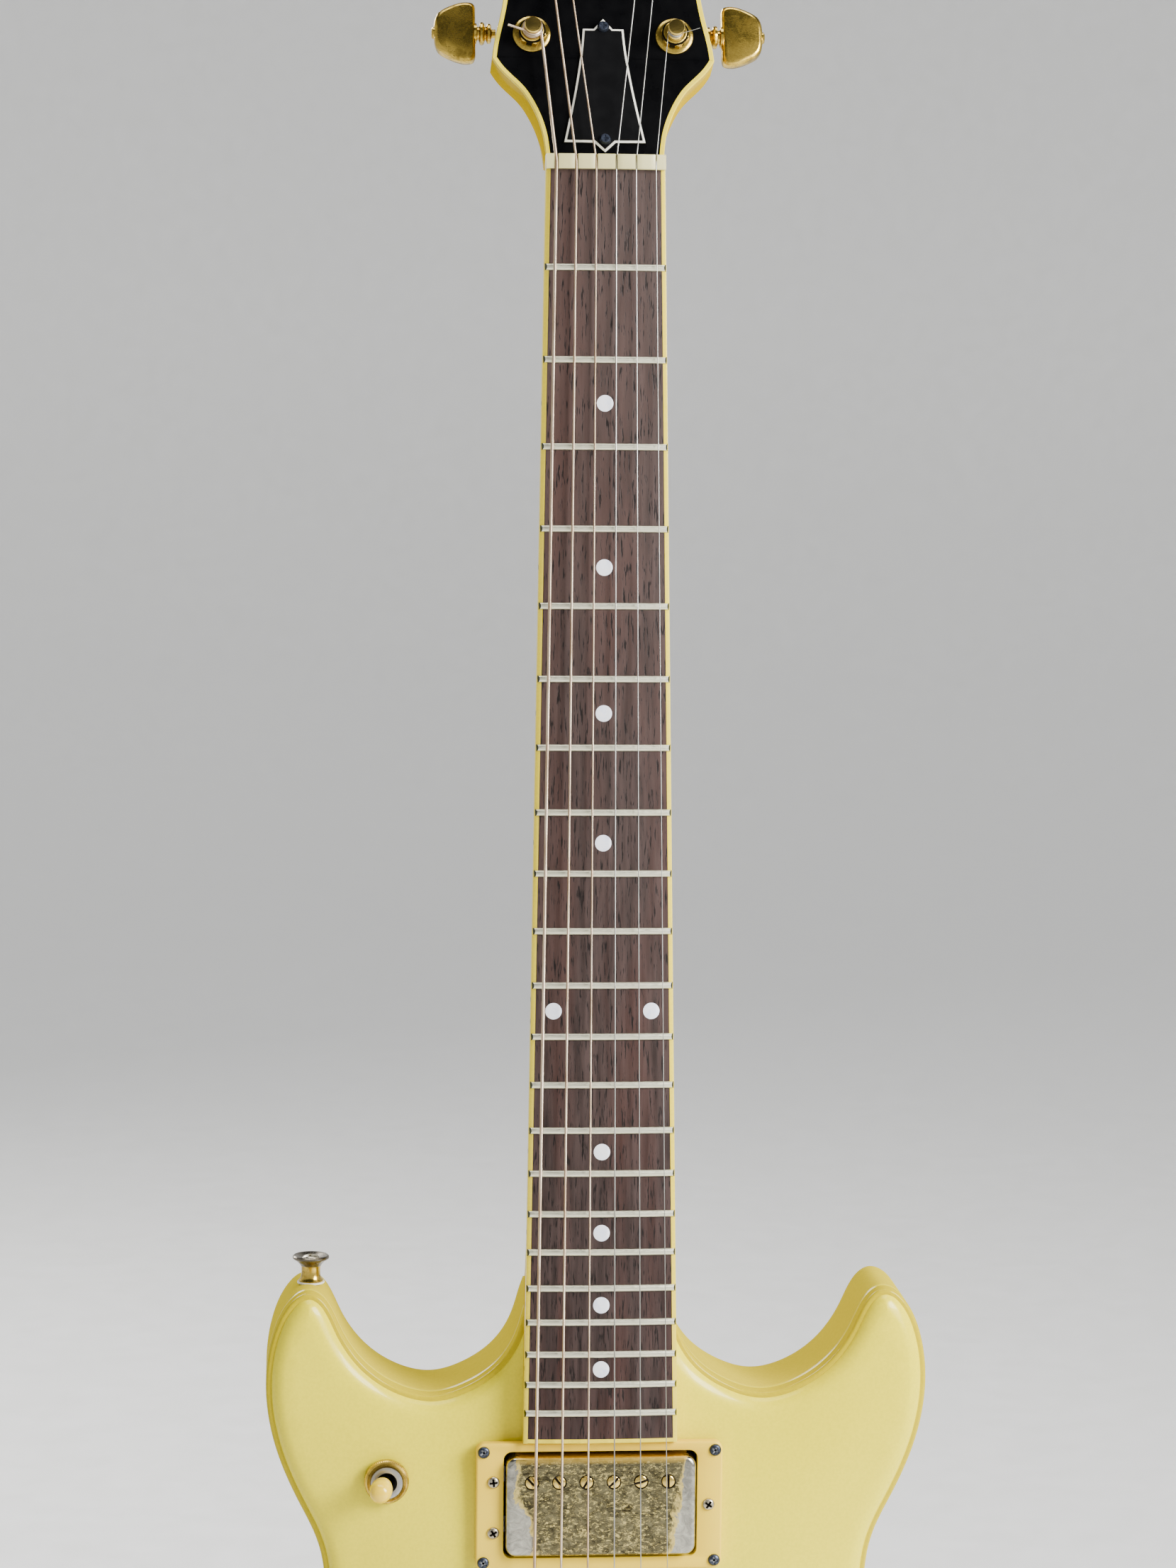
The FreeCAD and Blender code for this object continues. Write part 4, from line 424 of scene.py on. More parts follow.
def smooth_group():
    """A modifier tree that shades smooth, but keeps edges sharper than 32 degrees."""
    tree = bpy.data.node_groups.new("smooth_by_angle", "GeometryNodeTree")
    tree.interface.new_socket("Geometry", in_out="INPUT", socket_type="NodeSocketGeometry")
    tree.interface.new_socket("Geometry", in_out="OUTPUT", socket_type="NodeSocketGeometry")
    entry, leave = tree.nodes.new("NodeGroupInput"), tree.nodes.new("NodeGroupOutput")
    faces = tree.nodes.new("GeometryNodeSetShadeSmooth")
    edges = tree.nodes.new("GeometryNodeSetShadeSmooth")
    edges.domain = "EDGE"
    angle = tree.nodes.new("GeometryNodeInputMeshEdgeAngle")
    sharp = tree.nodes.new("FunctionNodeCompare")
    sharp.operation = "GREATER_THAN"
    sharp.inputs["B"].default_value = math.radians(32)
    edges.inputs["Shade Smooth"].default_value = False
    tree.links.new(entry.outputs[0], faces.inputs["Geometry"])
    tree.links.new(faces.outputs["Geometry"], edges.inputs["Geometry"])
    tree.links.new(angle.outputs["Unsigned Angle"], sharp.inputs["A"])
    tree.links.new(sharp.outputs["Result"], edges.inputs["Selection"])
    tree.links.new(edges.outputs["Geometry"], leave.inputs[0])
    return tree


SMOOTH = smooth_group()


def soften(piece, bevel=0.0, segments=2, weld=False):
    """Rounds a piece's edges and shades it smooth by angle."""
    if weld:
        modifier = piece.modifiers.new("weld", "WELD")
        modifier.merge_threshold = 0.00001
    if bevel:
        modifier = piece.modifiers.new("bevel", "BEVEL")
        modifier.width = bevel * MM
        modifier.segments = segments
        modifier.limit_method = "ANGLE"
        modifier.angle_limit = math.radians(35)
        modifier.use_clamp_overlap = True
    modifier = piece.modifiers.new("smooth", "NODES")
    modifier.node_group = SMOOTH


def finish_cad(node, material, bevel=0.0, segments=2):
    """Gives a kept CAD node its material and rounded edges."""
    piece = NODES[node]
    piece.data.materials.clear()
    piece.data.materials.append(material)
    soften(piece, bevel, segments, weld=True)


def new_object(name, points, faces):
    """A mesh object from millimetre points, with its faces turned outwards."""
    mesh = bpy.data.meshes.new(name)
    mesh.from_pydata([tuple(p) for p in np.asarray(points, float) * MM], [], faces)
    mesh.validate()
    bm = bmesh.new()
    bm.from_mesh(mesh)
    bmesh.ops.recalc_face_normals(bm, faces=bm.faces)
    bm.to_mesh(mesh)
    bm.free()
    result = bpy.data.objects.new(name, mesh)
    bpy.context.scene.collection.objects.link(result)
    return result


def new_piece(name, points, faces, material, body="guitar", replaces=(), slot=None, bevel=0.0):
    """A piece from millimetre points; it rides on a body and may stand for CAD nodes."""
    piece = new_object(name, points, faces)
    piece.data.materials.append(material)
    soften(piece, bevel)
    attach(piece, body)
    if replaces:
        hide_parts(*replaces)
    return piece


def at_depth(plan, depth):
    """Plan points (across, up) as space points at a depth, or each at its own."""
    return np.stack([plan[:, 0], np.full(len(plan), depth), plan[:, 1]], axis=1)


def rings_mesh(rings, loop_rings=False, caps=True):
    """Points and faces of closed rings joined one to the next."""
    count = len(rings[0])
    points = np.concatenate(rings)
    faces = []
    pairs = [(k, k + 1) for k in range(len(rings) - 1)]
    if loop_rings:
        pairs.append((len(rings) - 1, 0))
    for low, high in pairs:
        for k in range(count):
            after = (k + 1) % count
            faces.append((low * count + k, low * count + after, high * count + after, high * count + k))
    if caps and not loop_rings:
        faces.append(tuple(range(count))[::-1])
        faces.append(tuple(range((len(rings) - 1) * count, len(rings) * count)))
    return points, faces


def axis_circle(direction, segments):
    """A unit axis, and unit points in a circle round it."""
    axis = np.array(Vector(direction).normalized())
    side = np.array(Vector(axis).orthogonal().normalized())
    turn = 2 * math.pi * np.arange(segments) / segments
    return axis, np.outer(np.cos(turn), side) + np.outer(np.sin(turn), np.cross(axis, side))


def lathe(profile, start, direction, segments=40):
    """Rings turned about an axis from (radius, height) pairs."""
    axis, circle = axis_circle(direction, segments)
    return rings_mesh([np.asarray(start, float) + axis * height + circle * max(radius, 0.001)
                       for radius, height in profile])


def turned_ring(profile, start, direction, segments=48, knurl=0.0, knurl_from=0.0):
    """A ring turned about an axis from a closed (radius, height) profile; a knurl notches its rim."""
    axis, circle = axis_circle(direction, segments)
    notch = knurl * (np.arange(segments) % 2)[:, None]
    rings = []
    for radius, height in profile:
        depth = notch if radius >= knurl_from else 0.0
        rings.append(np.asarray(start, float) + axis * height + circle * (radius - depth))
    return rings_mesh(rings, loop_rings=True)


def merge(parts):
    """Several point-and-face sets as one."""
    points, faces, base = [], [], 0
    for part_points, part_faces in parts:
        points.append(part_points)
        faces += [tuple(index + base for index in face) for face in part_faces]
        base += len(part_points)
    return np.concatenate(points), faces


def natural_spline(points, samples):
    """A smooth curve through points, with a given number of samples in each span."""
    points = np.asarray(points, float)
    spans = np.linalg.norm(np.diff(points, axis=0), axis=1)
    count = len(points)
    matrix = np.zeros((count, count))
    right = np.zeros((count, points.shape[1]))
    matrix[0, 0] = matrix[-1, -1] = 1.0
    for k in range(1, count - 1):
        matrix[k, k - 1:k + 2] = spans[k - 1], 2 * (spans[k - 1] + spans[k]), spans[k]
        right[k] = 6 * ((points[k + 1] - points[k]) / spans[k] - (points[k] - points[k - 1]) / spans[k - 1])
    bend = np.linalg.solve(matrix, right)
    curve = []
    for k in range(count - 1):
        step = spans[k]
        for part in np.arange(samples) / samples:
            near, far = (1 - part) * step, part * step
            value = (bend[k] * near ** 3 + bend[k + 1] * far ** 3) / (6 * step)
            value += (points[k] / step - bend[k] * step / 6) * near
            value += (points[k + 1] / step - bend[k + 1] * step / 6) * far
            curve.append(value)
    curve.append(points[-1])
    return np.array(curve)


def inward_normals(loop):
    """Unit normals of a closed loop that point to its inside."""
    ahead = np.roll(loop, -1, axis=0) - np.roll(loop, 1, axis=0)
    normals = np.stack([-ahead[:, 1], ahead[:, 0]], axis=1)
    normals /= np.linalg.norm(normals, axis=1)[:, None]
    following = np.roll(loop, -1, axis=0)
    area = np.sum(loop[:, 0] * following[:, 1] - following[:, 0] * loop[:, 1])
    return normals if area > 0 else -normals


def apply_modifiers(piece):
    """Replaces a piece's mesh with what its modifiers make of it."""
    bpy.context.view_layer.update()
    result = bpy.data.meshes.new_from_object(piece.evaluated_get(bpy.context.evaluated_depsgraph_get()))
    piece.modifiers.clear()
    piece.data = result


# ---------------------------------------------------------------------------------------- body

HALF_OUTLINE = [
    (25.8, 405.4), (27.4, 400.8), (28.9, 395.6), (31.6, 388.6), (37.2, 380.7), (48.7, 372.8),
    (60.6, 369.6), (72.0, 371.9), (85.3, 380.6), (94.3, 393.3), (98.6, 402.2), (101.6, 406.0),
    (105.5, 408.0), (109.6, 407.2), (113.6, 403.8), (119.5, 391.8), (122.0, 372.0), (118.7, 351.5),
    (110.2, 330.5), (102.8, 314.3), (100.2, 294.0), (103.8, 264.0), (115.0, 231.0), (133.0, 195.0),
    (151.0, 158.0), (162.0, 124.0), (164.0, 98.0), (158.5, 66.0), (143.0, 37.0), (116.0, 16.0),
    (80.0, 4.6), (40.0, 1.1),
]


# The outline is drawn a hair inside the CAD body's, so that no piece stands out of its box.
JUST_INSIDE = 0.9998


def body_loop():
    """The body's outline, sampled closely and closed by the straight edge under the neck."""
    mirrored = [(-across, along) for across, along in reversed(HALF_OUTLINE)]
    curve = natural_spline(HALF_OUTLINE + [(0.0, 0.05)] + mirrored, 10)
    start, end = curve[-1], curve[0]
    closing = [start + (end - start) * part for part in np.linspace(0, 1, 14)[1:-1]]
    return np.concatenate([curve, closing]) * JUST_INSIDE + np.array([0.0, 0.02])


LOOP = body_loop()
LOOP_IN = inward_normals(LOOP)


def body_ring(inset, depth):
    """The body's outline, moved in from the rim, at a depth."""
    return at_depth(LOOP + LOOP_IN * inset, depth)


BINDING_WIDTH = 2.0
SHOULDER_RISE, SHOULDER_REACH = 2.6, 1.8
ARCH_RISE, ARCH_REACH = 4.4, 16.0


def arch_depth(inset):
    """Depth of the front at a distance in from the rim: a tight shoulder, then a slow rise."""
    inward = max(inset - BINDING_WIDTH, 0.0)
    shoulder = SHOULDER_RISE * (1 - math.exp(-inward / SHOULDER_REACH))
    return RIM_Y - shoulder - ARCH_RISE * (1 - math.exp(-inward / ARCH_REACH))


def filled(ring, spacing):
    """Fills a ring with an even net of triangles, and returns its plan points and triangles."""
    plan = ring[:, [0, 2]]
    low, high = plan.min(0), plan.max(0)
    inner_test = np.roll(plan, -1, axis=0)
    grid = []
    for row, along in enumerate(np.arange(low[1], high[1], spacing * 0.87)):
        shift = (row % 2) * spacing / 2
        across = np.arange(low[0] + shift, high[0], spacing)
        crossing = (plan[:, 1] > along) != (inner_test[:, 1] > along)
        first, second = plan[crossing], inner_test[crossing]
        run, rise = (second - first).T
        cuts = first[:, 0] + (along - first[:, 1]) * run / rise
        inside = (np.sum(cuts[None, :] > across[:, None], axis=1) % 2) == 1
        for value in across[inside]:
            gap = np.min(np.linalg.norm(plan - np.array([value, along]), axis=1))
            if gap > spacing * 0.6:
                grid.append((value, along))
    points = [Vector(p) for p in plan] + [Vector(p) for p in grid]
    edges = [(k, (k + 1) % len(plan)) for k in range(len(plan))]
    result = delaunay_2d_cdt(points, edges, [], 1, 0.0001)
    return np.array([tuple(p) for p in result[0]]), [tuple(face) for face in result[2]]


def distance_to_rim(plan):
    """How far each plan point lies from the body's outline."""
    return np.array([np.min(np.linalg.norm(LOOP - point, axis=1)) for point in plan])


def relaxed(values, triangles, fixed, rounds):
    """Evens out heights over a triangle net, holding the first ones."""
    edges = set()
    for face in triangles:
        for first, second in zip(face, face[1:] + face[:1]):
            edges.add((min(first, second), max(first, second)))
    edges = np.array(sorted(edges))
    values = values.copy()
    for _ in range(rounds):
        total = np.zeros(len(values))
        count = np.zeros(len(values))
        np.add.at(total, edges[:, 0], values[edges[:, 1]])
        np.add.at(total, edges[:, 1], values[edges[:, 0]])
        np.add.at(count, edges[:, 0], 1)
        np.add.at(count, edges[:, 1], 1)
        mean = total / np.maximum(count, 1)
        values[fixed:] = mean[fixed:]
    return values


def box_points(low, high):
    """Points and faces of a straight box."""
    corners = [(x, y, z) for x in (low[0], high[0]) for y in (low[1], high[1]) for z in (low[2], high[2])]
    faces = [(0, 1, 3, 2), (4, 6, 7, 5), (0, 4, 5, 1), (2, 3, 7, 6), (0, 2, 6, 4), (1, 5, 7, 3)]
    return np.array(corners, float), faces


def rounded_rectangle(width, height, radius, centre, steps=8):
    """A loop of plan points round a rectangle with round corners."""
    loop = []
    for turn, (sx, sy) in enumerate(((1, 1), (-1, 1), (-1, -1), (1, -1))):
        middle = (centre[0] + sx * (width / 2 - radius), centre[1] + sy * (height / 2 - radius))
        for part in np.linspace(0, math.pi / 2, steps):
            angle = turn * math.pi / 2 + part
            loop.append((middle[0] + radius * math.cos(angle), middle[1] + radius * math.sin(angle)))
    return np.array(loop)


def prism(loop, low_y, high_y):
    """A straight prism over a plan loop, between two depths."""
    return rings_mesh([at_depth(loop, low_y), at_depth(loop, high_y)])


def carve(piece, cutters, bevel=0.0):
    """Cuts hollows out of a new piece, and then rounds its edges."""
    piece.modifiers.clear()
    made = []
    for number, (points, faces) in enumerate(cutters):
        tool = new_object("cutter", points, faces)
        made.append(tool)
        modifier = piece.modifiers.new("carve_%d" % number, "BOOLEAN")
        modifier.operation = "DIFFERENCE"
        modifier.solver = "EXACT"
        modifier.object = tool
    apply_modifiers(piece)
    for tool in made:
        bpy.data.objects.remove(tool)
    soften(piece, bevel)


def node_box(node):
    """A CAD node's low and high corners, in millimetres."""
    low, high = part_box(node)
    return np.array(low) / MM, np.array(high) / MM


CONTROL_MIDDLE = (94.0, 112.0)
JACK_X, JACK_Z = 165.9, 100.0
STUDS = ((-37.0, 190.0), (37.0, 190.0), (-41.0, 149.0), (41.0, 149.0))
WELL_HALF_WIDTH, WELL_HALF_HEIGHT = 36.5, 21
CAVITY_DEPTH = 39.0


def body_hollows():
    """Cutters for the body: seats and wells first, then bores, then the two back cavities."""
    low, high = node_box("jack_plate")
    seats = [box_points((high[0] - 1.64, -15.0, low[2] - 1.0), (high[0] + 20, 15.0, high[2] + 1.0))]
    for ring in ("pickup_ring_neck", "pickup_ring_bridge"):
        ring_low, ring_high = node_box(ring)
        middle = (ring_low[2] + ring_high[2]) / 2
        seats.append(box_points((-WELL_HALF_WIDTH, TOP_Y - 3, middle - WELL_HALF_HEIGHT),
                                (WELL_HALF_WIDTH, TOP_Y + 24, middle + WELL_HALF_HEIGHT)))
    seats.append(prism(rounded_rectangle(104.0, 124.0, 16.0, CONTROL_MIDDLE), BACK_Y - 2.0, BACK_Y + 2))
    seats.append(lathe([(26.0, 0), (26.0, 4.0)], (SWITCH_X, BACK_Y - 2.0, SWITCH_Z), (0, 1, 0), 96))
    bores = [lathe([(5.85, 0), (5.85, 22.0)], (SWITCH_X, TOP_Y - 5, SWITCH_Z), (0, 1, 0), 48)]
    for x, z in KNOBS:
        bores.append(lathe([(4.85, 0), (4.85, 20.0)], (x, TOP_Y - 5, z), (0, 1, 0), 40))
    for x, z in STUDS:
        bores.append(lathe([(5.5, 0), (5.5, 25.0)], (x, TOP_Y - 2, z), (0, 1, 0), 40))
    bores.append(lathe([(10.0, 0), (10.0, 40.0)], (JACK_X, 0, JACK_Z), (-1, 0, 0), 48))
    floor = BACK_Y - CAVITY_DEPTH
    rooms = [prism(rounded_rectangle(92.0, 112.0, 12.0, CONTROL_MIDDLE), floor, BACK_Y - 1.0),
             lathe([(20.0, 0), (20.0, CAVITY_DEPTH - 1.0)], (SWITCH_X, floor, SWITCH_Z), (0, 1, 0), 64)]
    return [merge(seats), merge(bores), merge(rooms)]


def add_cap(points, faces, start, plan, triangles, depth):
    """Closes a mesh with a filled plan whose first points are the ring that begins at start."""
    count = len(LOOP)
    index = [start + k if k < count else len(points) + k - count for k in range(len(plan))]
    faces += [tuple(index[k] for k in face) for face in triangles]
    return np.concatenate([points, at_depth(plan[count:], depth)])


def make_body():
    """The body's shell with its routings, and the binding round its front edge."""
    rings = []
    for turn in np.linspace(math.pi / 2, 0, 8):
        rings.append(body_ring(4.0 * (1 - math.cos(turn)), BACK_Y - 4.0 + 4.0 * math.sin(turn)))
    for depth in (8.0, -2.0, -10.0, SEAM_Y + 0.3):
        rings.append(body_ring(0.0, depth))
    rings.append(body_ring(0.12, SEAM_Y + 0.1))
    rings.append(body_ring(2.0, SEAM_Y + 0.05))
    rings.append(body_ring(2.0, -18.0))
    for inset in (2.0, 2.3, 2.7, 3.2, 3.8, 4.5, 5.4, 7.0):
        rings.append(body_ring(inset, arch_depth(inset)))
    points, faces = rings_mesh(rings, caps=False)
    count = len(LOOP)
    top_plan, top_faces = filled(rings[-1], 4.0)
    heights = np.array([arch_depth(value) for value in distance_to_rim(top_plan)])
    heights[:count] = arch_depth(7.0)
    heights = relaxed(heights, top_faces, count, 30)
    points = add_cap(points, faces, len(points) - count, top_plan, top_faces, heights[count:])
    back_plan, back_faces = filled(rings[0], 30.0)
    points = add_cap(points, faces, 0, back_plan, [face[::-1] for face in back_faces], BACK_Y)
    body = new_piece("body_shell", points, faces, CREAM, replaces=("body_wood",), slot="cream_lacquer")
    carve(body, body_hollows())
    section = [(0.0, SEAM_Y + 0.04), (0.0, RIM_Y + 1.5)]
    for turn in np.linspace(0.2, math.pi / 2, 6):
        section.append((1.3 * (1 - math.cos(turn)), RIM_Y + 1.5 * (1 - math.sin(turn)) - 0.1))
    section += [(2.05, RIM_Y - 0.12), (2.25, RIM_Y + 0.4), (2.25, SEAM_Y + 0.04)]
    shape = rings_mesh([body_ring(inset, depth) for inset, depth in section], loop_rings=True)
    new_piece("body_edge_binding", *shape, BINDING, replaces=("body_binding",), slot="body_binding")


make_body()

# ---------------------------------------------------------------------------------------- neck

HEEL_DEPTH = 27.0
HEEL_TOP = 41.0
HEEL_FADE = (40, 68)
SHAFT_THIN, SHAFT_GROWTH, SHAFT_THICK = 14.5, 3.0, 17.4


def d_section(half, depth, power, count=40):
    """A flat front and a rounded back, as (across, behind) pairs; a larger power is squarer."""
    loop = []
    for turn in np.linspace(0, math.pi, count):
        across, behind = math.cos(turn), math.sin(turn)
        loop.append((half * math.copysign(abs(across) ** (2 / power), across), depth * behind ** (2 / power)))
    return loop


def step(value, low, high):
    """0 below low, 1 above high, and an even S between them."""
    part = min(max((value - low) / (high - low), 0.0), 1.0)
    return part * part * (3 - 2 * part)


BUSHING_HOLE = 4.85
HEAD_SIDE = [(21.5, 0.0), (22.5, 8.0), (24.2, 14.0), (26.7, 19.7), (30.3, 25.4), (34.8, 30.0),
             (38.4, 34.0), (40.6, 37.4)]
HEAD_EDGE = [(40.6, 37.4), (40.1, 41.5), (38.8, 48.0), (37.3, 54.7), (36.2, 61.0), (34.9, 75.0), (34.1, 95.0),
             (34.3, 115.0), (35.6, 131.0), (37.5, 143.9)]
HEAD_TOP = [(37.5, 143.9), (30.0, 148.5), (20.0, 148.4), (9.0, 151.0), (0.0, 155.9)]


def head_loop(narrower=0.0):
    """The headstock's outline, moved in by a margin except along the nut."""
    half = np.concatenate([natural_spline(HEAD_SIDE, 8)[:-1], natural_spline(HEAD_EDGE, 5)[:-1],
                           natural_spline(HEAD_TOP, 6)])
    loop = np.concatenate([half, half[-2::-1] * np.array([-1.0, 1.0])])
    if narrower:
        moved = loop + inward_normals(loop) * narrower
        moved[:, 1] = np.maximum(moved[:, 1], 0.0)
        moved[0] = (loop[0, 0] - narrower, 0.0)
        moved[-1] = (loop[-1, 0] + narrower, 0.0)
        loop = moved
    return loop


def head_layer(loops, depths):
    """Layers over headstock loops at rising depths behind its face, as one closed shape."""
    return rings_mesh([head(at_depth(loop, depth)) for loop, depth in zip(loops, depths)])


def head_width(up):
    """Half the headstock's width beside the nut's end of its outline."""
    side = natural_spline(HEAD_SIDE, 8)
    return float(np.interp(up, side[:, 1], side[:, 0]))


def tuner_holes():
    """Cutters for the holes of the six tuner bushings."""
    behind = HEAD_TURN @ np.array([0, 1.0, 0])
    profile = [(BUSHING_HOLE, 0), (BUSHING_HOLE, 30)]
    return [lathe(profile, head([(sign * across, -4.0, along)])[0], behind, 32)
            for across, along in TUNER_ROWS for sign in (-1, 1)]


def make_neck():
    """The neck's shaft with its heel, the headstock's wood, and the body's tongue below the board."""
    rings = []
    heel_ups, shaft_ups = np.linspace(8, 76, 28), np.linspace(80, NUT_BACK - 30, 14)
    for up in np.concatenate([heel_ups, shaft_ups, np.linspace(NUT_BACK - 24, NUT_BACK - 4, 6)]):
        heel = 1 - step(up, *HEEL_FADE)
        depth = SHAFT_THIN + SHAFT_GROWTH * (1 - up / FRET_22) + (HEEL_DEPTH - SHAFT_THICK) * heel
        loop = d_section(half_width(up) - 0.03, depth, 2.0 + 1.6 * heel)
        rings.append(neck([(a, BOARD_THICK + b, up) for a, b in loop]))
    for up in np.linspace(3.0, 24.0, 9):
        square = step(up, 2.0, 22.0)
        depth = SHAFT_THIN - 0.6 * square
        loop = d_section(head_width(up) - 0.05, depth - 0.1, 2.0 + 10 * square)
        rings.append(head([(a, VENEER + 0.05 + b, up) for a, b in loop]))
    new_piece("neck_shaft", *rings_mesh(rings), NECK_LACQUER, replaces=("neck_wood",), slot="neck_lacquer")
    full, tight = head_loop(), head_loop(1.0)
    back = VENEER + HEAD_DEPTH
    shape = head_layer([full, full, head_loop(0.35), tight], [VENEER, back - 1.0, back - 0.3, back])
    block = new_piece("headstock_wood", *shape, NECK_LACQUER, slot="neck_lacquer")
    carve(block, tuner_holes())
    cheek_rings = []
    for up in (BOARD_START + 0.05, HEEL_TOP):
        wide = half_width(up) - 0.05
        back = BOARD_THICK + 18
        loop = [(wide, BOARD_THICK), (wide - 1.0, back), (1.0 - wide, back), (-wide, BOARD_THICK)]
        cheek_rings.append(neck([(a, b, up) for a, b in loop]))
    new_piece("neck_tongue", *rings_mesh(cheek_rings), CREAM, slot="cream_lacquer", bevel=0.3)


make_neck()


def make_head_face():
    """The headstock's black face, and the pale edge line round it."""
    inner = head_loop(1.7)
    face = new_piece("headstock_face", *head_layer([inner, inner], [0.0, VENEER + 0.02]), BLACK_LACQUER,
                     replaces=("headstock_veneer",), slot="black_lacquer")
    carve(face, tuner_holes())
    outer, rim, inside = head_loop(0.02), head_loop(0.3), head_loop(1.65)
    section = ((outer, VENEER), (outer, 0.3), (rim, 0.0), (inside, 0.0), (inside, VENEER))
    rings = [head(at_depth(loop, depth)) for loop, depth in section]
    new_piece("headstock_edge", *rings_mesh(rings, loop_rings=True), BOARD_BINDING,
              replaces=("headstock_binding",), slot="neck_binding")


make_head_face()

COVER_SIDE = [(7.7, 49.1), (8.3, 42.0), (9.4, 34.0), (10.8, 25.7), (12.6, 16.5), (15.1, 4.7)]


def cover_loop(narrower):
    """The truss-rod cover's outline: two points at the ends, two gently hollow sides."""
    side = natural_spline(COVER_SIDE, 5)
    half = np.concatenate([[(0.0, 53.2), (3.6, 49.1)], side, [(4.0, 4.6), (0.0, 0.8)]])
    loop = np.concatenate([half, half[-2:0:-1] * np.array([-1.0, 1.0])])
    if not narrower:
        return loop
    before, after = np.roll(loop, 1, axis=0), np.roll(loop, -1, axis=0)
    first, second = loop - before, after - loop
    first /= np.linalg.norm(first, axis=1)[:, None]
    second /= np.linalg.norm(second, axis=1)[:, None]
    normal_1 = np.stack([first[:, 1], -first[:, 0]], axis=1)
    normal_2 = np.stack([second[:, 1], -second[:, 0]], axis=1)
    way = normal_1 + normal_2
    scale = narrower / (1 + np.sum(normal_1 * normal_2, axis=1))
    inward = way * scale[:, None]
    middle = np.array([0.0, 27.0])
    if np.sum(inward * (middle - loop)) < 0:
        inward = -inward
    return loop + inward


def make_truss_cover():
    """A black cover with a white line let in near its edge, as three thin plates."""
    layers = (("truss_cover_base", 0.0, 0.25, -0.05, -0.75, BLACK_PLASTIC, "black_plastic"),
              ("truss_cover_line", 0.3, 0.95, -0.5, -1.15, WHITE_PLY, "black_plastic"),
              ("truss_cover_face", 1.05, 1.35, -0.9, -1.55, BLACK_PLASTIC, "black_plastic"))
    for name, wide, tight, low, high, material, slot in layers:
        loops = [cover_loop(wide), cover_loop(wide), cover_loop(tight)]
        replaced = ("truss_cover",) if name == "truss_cover_face" else ()
        new_piece(name, *head_layer(loops, [low, (low + high) / 2, high]), material, replaces=replaced,
                  slot=slot)


make_truss_cover()


# --------------------------------------------------------------------------------- fingerboard

def make_board():
    """The rosewood board, and its binding along both sides and round the body end."""
    rings = []
    for up in np.linspace(BOARD_START + EDGE, FRET_22, 70):
        across = np.linspace(-1, 1, 21) * (half_width(up) - EDGE)
        front = [(x, crown_y(x), up) for x in across]
        rings.append(neck(front + [(across[-1], BOARD_THICK, up), (across[0], BOARD_THICK, up)]))
    new_piece("rosewood_board", *rings_mesh(rings), ROSEWOOD, replaces=("fretboard",), slot="rosewood")
    strips = []
    for sign in (-1, 1):
        rings = []
        for up in np.linspace(BOARD_START, FRET_22, 50):
            outer = half_width(up)
            inner = outer - EDGE
            crown = float(crown_y(outer))
            loop = [(inner, BOARD_THICK), (inner, float(crown_y(inner)) - 0.01), (outer - 0.35, crown),
                    (outer - 0.08, crown + 0.12), (outer, crown + 0.45), (outer, BOARD_THICK)]
            rings.append(neck([(sign * a, b, up) for a, b in loop]))
        strips.append(rings_mesh(rings))
    rings = []
    inner = half_width(BOARD_START + EDGE) - EDGE
    for across in np.linspace(-inner, inner, 13):
        crown = float(crown_y(across))
        loop = [(BOARD_THICK, BOARD_START), (crown + 0.3, BOARD_START), (crown, BOARD_START + 0.25),
                (crown, BOARD_START + EDGE), (BOARD_THICK, BOARD_START + EDGE)]
        rings.append(neck([(across, b, up) for b, up in loop]))
    strips.append(rings_mesh(rings))
    new_piece("board_edge_binding", *merge(strips), BOARD_BINDING, replaces=("fretboard_binding",),
              slot="neck_binding")


make_board()

FRET_WIDE, FRET_RISE = 2.5, 1.13


def make_frets():
    """Fret wires that follow the board's curve, with their ends filed back."""
    parts = []
    turns = np.linspace(0, math.pi, 13)
    profile = [(FRET_WIDE / 2 * math.cos(t), FRET_RISE * math.sin(t) ** 0.8) for t in turns]
    for number in range(1, FRET_COUNT + 1):
        up = FRET_22 - to_fret(number)
        half = half_width(up) - 0.1
        rings = []
        for part in np.linspace(-1, 1, 25):
            ring = []
            for along, rise in profile:
                across = part * (half - rise * 0.75) if abs(part) == 1 else part * (half - 0.85)
                radius = BOARD_RADIUS + rise
                ring.append((across, BOARD_RADIUS - math.sqrt(radius ** 2 - across ** 2), up + along))
            ring += [(ring[-1][0], float(crown_y(ring[-1][0])) + 0.3, up - FRET_WIDE / 2 + 0.2),
                     (ring[0][0], float(crown_y(ring[0][0])) + 0.3, up + FRET_WIDE / 2 - 0.2)]
            rings.append(neck(ring))
        parts.append(rings_mesh(rings))
    new_piece("fret_wires", *merge(parts), FRET_METAL, replaces=("frets",), slot="fret_nickel")


make_frets()

DOT_PAIR = 17.8


